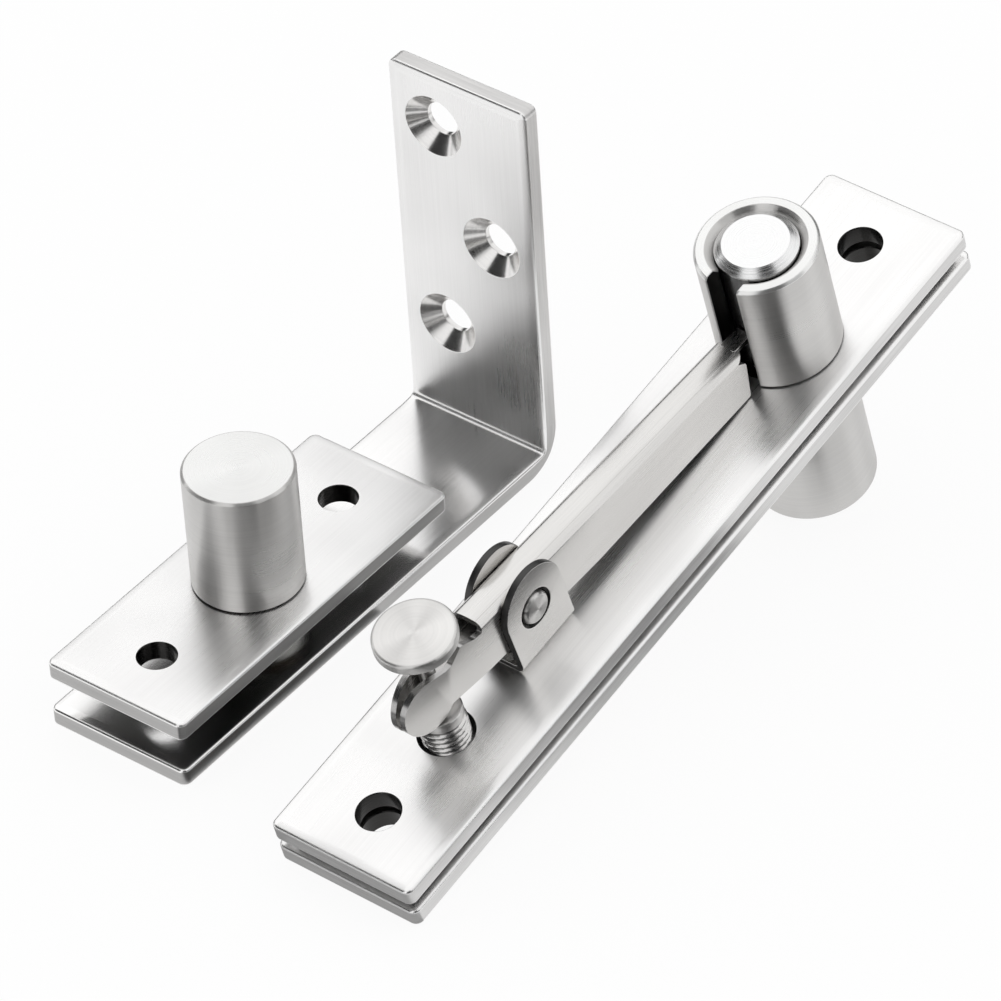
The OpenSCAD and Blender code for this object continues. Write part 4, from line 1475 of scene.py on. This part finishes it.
    def clevis(self) -> None:
        """The clevis: a strip bent to a U, whose ears are rounded and countersunk for the rivet."""
        t, r = self.ear_t, self.bend_r
        folds = []
        for y, z, fold_r in ((self.ear_inner + t, 0, r), (self.ear_inner, t, r - t)):
            folds.append(filleted([(y, r), (y, z), (-y, z), (-y, r)], [0, fold_r, fold_r, 0], 8))
        made = Surface()
        for line in folds:
            x = np.stack(self.flank(line[:, 1]))
            points = np.stack(np.broadcast_arrays(x, line[:, 0], line[:, 1]), -1)
            made.grid(points, pairs(x, line_lengths(line)[None]))
        section = np.stack(folds, 1)
        for x in self.flank(section[..., 1]):
            points = np.concatenate([x[..., None], section], -1)
            made.grid(points, pairs(np.array([[0.0, t]]), line_lengths(folds[0])[:, None]), Zone.SIDE)
        for side in (-1, 1):
            self.ear(made, side)
        place = self.upper.place @ shift(self.upper.rivet_x)
        # The cut edges take near-black painted shade, and the countersunk walls the bore's painted shade.
        make_piece("riveted_clevis", made, place, self.finishes.get("pressed", "shaded", "drilled"),
                   Body.FRAME_SIDE, "clevis", bevel=self.folded_edge)

    def ear(self, made: Surface, side: int) -> None:
        """Adds one ear above the bend: faces, edge band and the countersunk wall.

        Args:
            made: Takes the patches.
            side: 1 or -1.
        """
        near, far = self.flank(self.bend_r)
        crest = arc((0, self.ear_z), self.ear_r, 0, 180, ARC_STEPS)
        outline = np.concatenate([[(far, self.bend_r)], crest, [(near, self.bend_r)]])
        sink, bore = self.sink_d / 2, self.upper.rivet_d / 2
        rings = np.array([(sink, 0.0), (bore, sink - bore), (bore, self.ear_t)])
        pivot = (0.0, self.upper.rivet_z)
        loops = [arc(pivot, radius, 0, 360, BORE_STEPS)[:-1] for radius in rings[:, 0]]

        def lift(flat: np.ndarray, inset: float = 0.0) -> np.ndarray:
            """The place of a point (x, z) of the ear, drawn in by inset from its outer face."""
            y = np.full(len(flat), side * (self.ear_inner + self.ear_t - inset))
            return np.stack([flat[:, 0], y, flat[:, 1]], 1)

        made.fill([outline, loops[0]], lift)
        made.fill([outline, loops[-1]], lambda flat: lift(flat, self.ear_t))
        band = np.stack([lift(outline), lift(outline, self.ear_t)], 1)
        made.grid(band, pairs(np.array([[0.0, self.ear_t]]), line_lengths(outline)[:, None]), Zone.SIDE)
        wall = np.stack([lift(closed(loop), inset) for loop, inset in zip(loops, rings[:, 1])], 1)
        around = line_lengths(closed(loops[0]))[:, None]
        made.grid(wall, pairs(line_lengths(rings)[None], around), Zone.BORE)


@dataclass(frozen=True)
class TurnedFace:
    """A finish for a turned node that keeps its mesh: rings about its axis, on Object coordinates.

    Attributes:
        name: Name of the material.
        colour: Reflected colour of the end face, or of the whole node.
        shank: Colour below the end face; on the pin it is painted shade.
        end: Height of the end face along the axis, in millimetres.
        axis: Matrix from the axis's frame to the row frame, in millimetres.
        rings: Rings per millimetre of radius.
        roughness: Span of the roughness.
        groove: Height of the rings in millimetres.
    """

    name: str
    colour: tuple[float, float, float]
    shank: tuple[float, float, float] = (0.0, 0.0, 0.0)
    end: float = -1000.0
    axis: np.ndarray = field(default_factory=lambda: np.eye(4))
    rings: float = 5.0
    roughness: tuple[float, float] = (0.2, 0.32)
    groove: float = 0.002

    def material(self) -> bpy.types.Material:
        """Noise on the distance from the axis drives gloss and bump, and the height chooses the colour."""
        made, tree, shader = metal(self.name)
        place = tree.nodes.new("ShaderNodeTexCoord")
        back = tree.nodes.new("ShaderNodeMapping")
        inverse = Matrix(np.linalg.inv(self.axis))
        back.inputs["Rotation"].default_value = inverse.to_3x3().to_euler()
        back.inputs["Location"].default_value = inverse.translation * MM
        tree.links.new(place.outputs["Object"], back.inputs["Vector"])
        tree.links.new(self.tone(tree, back.outputs["Vector"]), shader.inputs["Base Color"])
        rings = tree.nodes.new("ShaderNodeTexNoise")
        rings.noise_dimensions = "1D"
        rings.inputs["Scale"].default_value = self.rings
        rings.inputs["Detail"].default_value = 3.0
        tree.links.new(self.radius(tree, back.outputs["Vector"]), rings.inputs["W"])
        rough = Steel.ranged(tree, rings.outputs["Fac"], *self.roughness)
        tree.links.new(rough, shader.inputs["Roughness"])
        bump = tree.nodes.new("ShaderNodeBump")
        bump.inputs["Distance"].default_value = self.groove * MM
        tree.links.new(rings.outputs["Fac"], bump.inputs["Height"])
        tree.links.new(bump.outputs["Normal"], shader.inputs["Normal"])
        return made

    @staticmethod
    def radius(tree: bpy.types.NodeTree, place: bpy.types.NodeSocket) -> bpy.types.NodeSocket:
        """The distance from the axis in millimetres.

        Args:
            tree: Takes the nodes.
            place: The place in the axis's frame.

        Returns:
            The distance.
        """
        flat = tree.nodes.new("ShaderNodeVectorMath")
        flat.operation = "MULTIPLY"
        flat.inputs[1].default_value = (1 / MM, 1 / MM, 0)
        length = tree.nodes.new("ShaderNodeVectorMath")
        length.operation = "LENGTH"
        tree.links.new(place, flat.inputs[0])
        tree.links.new(flat.outputs["Vector"], length.inputs[0])
        return length.outputs["Value"]

    def tone(self, tree: bpy.types.NodeTree, place: bpy.types.NodeSocket) -> bpy.types.NodeSocket:
        """The colour above the end's height and the shank's colour below it.

        Args:
            tree: Takes the nodes.
            place: The place in the axis's frame.

        Returns:
            The colour.
        """
        split = tree.nodes.new("ShaderNodeSeparateXYZ")
        above = tree.nodes.new("ShaderNodeMath")
        above.operation = "GREATER_THAN"
        above.inputs[1].default_value = self.end * MM
        mix = tree.nodes.new("ShaderNodeMix")
        mix.data_type = "RGBA"
        shank, face = [socket for socket in mix.inputs if socket.type == "RGBA"]
        shank.default_value = (*self.shank, 1)
        face.default_value = (*self.colour, 1)
        tree.links.new(place, split.inputs["Vector"])
        tree.links.new(split.outputs["Z"], above.inputs[0])
        tree.links.new(above.outputs["Value"], mix.inputs["Factor"])
        return next(socket for socket in mix.outputs if socket.type == "RGBA")


def dress_node(name: str, material: bpy.types.Material) -> None:
    """Gives a node of the frame, which keeps its mesh, that material."""
    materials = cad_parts[name].data.materials
    materials.clear()
    materials.append(material)
    LOG.info("%s: keeps its mesh and takes %s", name, material.name)


def dress_hidden() -> None:
    """Gives the hidden working pieces their steel, and the bronze pieces a near-black bronze that is painted
    shade.
    """
    steel = TurnedFace("ground_steel", (0.3, 0.3, 0.29)).material()
    for name in ("clevis_rivets", "pivot_stud", "thrust_balls", "thrust_race_lower", "thrust_race_upper"):
        dress_node(name, steel)
    # Painted shade: the bronze is darkened nearly to black so that it reads as shade in the gaps.
    bronze = TurnedFace("bronze_painted_shade", (0.07, 0.05, 0.03)).material()
    for name in ("lower_bush", "socket_bush", "spacer_washer", "thrust_cage"):
        dress_node(name, bronze)


# The studio


class Card:
    """A grey card that only shiny surfaces see, as a flag beside the product does in a studio."""

    name: str
    tone: float

    def rows(self) -> np.ndarray:
        """The card's net of points in metres, as n by m by 3."""
        raise NotImplementedError

    def build(self) -> None:
        """Makes the card's mesh, and hides it from the camera, from matt surfaces and from shadows."""
        points = self.rows()
        n, m, _ = points.shape
        mesh = bpy.data.meshes.new(self.name)
        mesh.from_pydata(points.reshape(-1, 3), [], cells(n, m).tolist())
        card = bpy.data.objects.new(self.name, mesh)
        bpy.context.scene.collection.objects.link(card)
        material = bpy.data.materials.new(self.name)
        material.use_nodes = True
        tree = material.node_tree
        tree.nodes.clear()
        out = tree.nodes.new("ShaderNodeOutputMaterial")
        glow = tree.nodes.new("ShaderNodeEmission")
        glow.inputs["Color"].default_value = (self.tone, self.tone, self.tone, 1)
        tree.links.new(glow.outputs["Emission"], out.inputs["Surface"])
        material.cycles.emission_sampling = "NONE"
        mesh.materials.append(material)
        card.visible_camera = False
        card.visible_diffuse = False
        card.visible_shadow = False


@dataclass(frozen=True)
class Wall(Card):
    """A card bent round the object, from one azimuth and elevation to another, in degrees."""

    name: str
    start: float
    end: float
    low: float
    high: float
    tone: float
    distance: float = 1.3

    def rows(self) -> np.ndarray:
        """Points at (d cos a, d sin a, d tan e) for the azimuths a and the two elevations e."""
        a = np.radians(np.linspace(self.start, self.end, 25))[:, None]
        e = np.radians([[self.low, self.high]])
        d = self.distance
        return np.stack([d * np.cos(a) + 0 * e, d * np.sin(a) + 0 * e, d * np.tan(e) + 0 * a], -1)


@dataclass(frozen=True)
class FloorCard(Card):
    """A card that lies on the ground. Its outline is given in millimetres."""

    name: str
    tone: float
    outline: tuple[tuple[float, float], ...]
    lift: float = 0.15

    def rows(self) -> np.ndarray:
        """The outline and its middle, as a fan of quads with one short side."""
        ring = np.array([*self.outline, self.outline[0]]) * MM
        middle = np.broadcast_to(ring[:-1].mean(0), ring.shape)
        flat = np.stack([ring, middle], 1)
        return np.concatenate([flat, np.full((*flat.shape[:2], 1), self.lift * MM)], -1)


@dataclass
class Studio:
    """Camera, white ground, a soft lamp and the cards that metal mirrors.

    Places on the ground are in millimetres. The room's own sizes are in metres.
    """

    lens: float = 287.15
    sensor: float = 36.0
    clip: tuple[float, float] = (0.01, 20.0)
    camera_mm: tuple[float, float, float] = (-616.57, -564.44, 730.82)
    right: tuple[float, float, float] = (0.607707, -0.792423, -0.052522)
    down: tuple[float, float, float] = (-0.538644, -0.36268, -0.760478)
    forward: tuple[float, float, float] = (0.583571, 0.490438, -0.647236)
    lamp_watts: float = 0.3
    lamp_size: float = 0.8
    lamp_place: tuple[float, float, float] = (0.3, 0.6, 0.9)
    ground_half: float = 3.0
    paper: tuple[float, float, float, float] = (0.97, 0.97, 0.97, 1.0)
    glow_share: float = 0.9
    room_level: float = 0.95
    walls: tuple[Wall, ...] = (
        Wall("card_far", -50, 100, 0.5, 23, 0.04),
        Wall("card_camera", 206, 250, -1, 62, 0.02),
        Wall("card_right", 250, 285, -1, 40, 0.30),
        Wall("card_left", 108, 166, 14, 62, 0.03),
    )
    floors: tuple[FloorCard, ...] = (
        FloorCard("card_kerb", 0.05,
                  ((-300, -16.5), (14, -16.5), (14, -12.6), (-30.5, -12.6), (-300, -12.6))),
        FloorCard("card_lane", 0.26, ((-300, -30), (-37, -30), (42, -31), (42, -16.5), (-300, -16.5))),
        FloorCard("card_end", 0.42, ((-32, -28), (-44, -20), (-60, -20), (-60, -58), (-32, -58))),
        FloorCard("card_front", 0.06,
                  ((30, -67), (-50, -67), (-300, -31), (-300, -232), (-1.4, -232), (55, -67))),
    )

    def build(self) -> None:
        """Sets up the view, the ground and the light."""
        self.camera()
        self.ground()
        self.world()
        self.lamp()
        for card in (*self.walls, *self.floors):
            card.build()
        bpy.context.scene.view_settings.view_transform = "Standard"

    def camera(self) -> None:
        """The camera at the photograph's place, worked out from the corners of the strips."""
        data = bpy.data.cameras.new("view")
        data.lens = self.lens
        data.sensor_width = self.sensor
        data.clip_start, data.clip_end = self.clip
        camera = bpy.data.objects.new("view", data)
        axes = np.array([self.right, -np.array(self.down), -np.array(self.forward)]).T
        matrix = np.eye(4)
        matrix[:3, :3] = axes
        matrix[:3, 3] = np.array(self.camera_mm) * MM
        camera.matrix_world = Matrix(matrix)
        bpy.context.scene.collection.objects.link(camera)
        bpy.context.scene.camera = camera

    def ground(self) -> None:
        """The white ground, which shows white to the camera and to metal and keeps a faint shadow."""
        mesh = bpy.data.meshes.new("ground")
        half = self.ground_half
        corners = [(-half, -half, 0), (half, -half, 0), (half, half, 0), (-half, half, 0)]
        mesh.from_pydata(corners, [], [(0, 1, 2, 3)])
        ground = bpy.data.objects.new("ground", mesh)
        bpy.context.scene.collection.objects.link(ground)
        material = bpy.data.materials.new("white_ground")
        material.use_nodes = True
        tree = material.node_tree
        tree.nodes.clear()
        out = tree.nodes.new("ShaderNodeOutputMaterial")
        paper = tree.nodes.new("ShaderNodeBsdfDiffuse")
        paper.inputs["Color"].default_value = self.paper
        glow = tree.nodes.new("ShaderNodeEmission")
        glow.inputs["Color"].default_value = (1, 1, 1, 1)
        mix = tree.nodes.new("ShaderNodeMixShader")
        share = tree.nodes.new("ShaderNodeMath")
        share.operation = "MULTIPLY"
        share.inputs[1].default_value = self.glow_share
        tree.links.new(self.seen(tree), share.inputs[0])
        tree.links.new(share.outputs["Value"], mix.inputs["Fac"])
        tree.links.new(paper.outputs["BSDF"], mix.inputs[1])
        tree.links.new(glow.outputs["Emission"], mix.inputs[2])
        tree.links.new(mix.outputs["Shader"], out.inputs["Surface"])
        mesh.materials.append(material)

    @staticmethod
    def seen(tree: bpy.types.NodeTree) -> bpy.types.NodeSocket:
        """One for a ray from the camera, a mirror or a glass, and zero for other rays.

        Args:
            tree: Takes the nodes.

        Returns:
            That number.
        """
        path = tree.nodes.new("ShaderNodeLightPath")
        total = path.outputs["Is Camera Ray"]
        for kind in ("Is Glossy Ray", "Is Transmission Ray"):
            either = tree.nodes.new("ShaderNodeMath")
            either.operation = "ADD"
            either.use_clamp = True
            tree.links.new(total, either.inputs[0])
            tree.links.new(path.outputs[kind], either.inputs[1])
            total = either.outputs["Value"]
        return total

    def world(self) -> None:
        """A white room: strength 1 where it is seen, a plain level where it only lights."""
        world = bpy.data.worlds.new("room")
        bpy.context.scene.world = world
        world.use_nodes = True
        tree = world.node_tree
        back = tree.nodes["Background"]
        back.inputs["Color"].default_value = (1, 1, 1, 1)
        level = Steel.ranged(tree, self.seen(tree), self.room_level, 1.0, (0.0, 1.0))
        tree.links.new(level, back.inputs["Strength"])

    def lamp(self) -> None:
        """One large soft lamp, high on the far side."""
        data = bpy.data.lights.new("overhead", "AREA")
        data.energy = self.lamp_watts
        data.size = self.lamp_size
        lamp = bpy.data.objects.new("overhead", data)
        lamp.location = self.lamp_place
        lamp.rotation_mode = "QUATERNION"
        lamp.rotation_quaternion = Vector(lamp.location).to_track_quat("Z", "Y")
        bpy.context.scene.collection.objects.link(lamp)


def main() -> None:
    """Builds the hinge and the studio."""
    logging.basicConfig(level=logging.INFO, format="%(message)s")
    finishes = Finishes()
    LowerPivot(finishes).build()
    upper = UpperPivot(finishes)
    upper.build()
    Linkage(finishes, upper).build()
    dress_hidden()
    Studio().build()


if __name__ == "__main__":
    main()
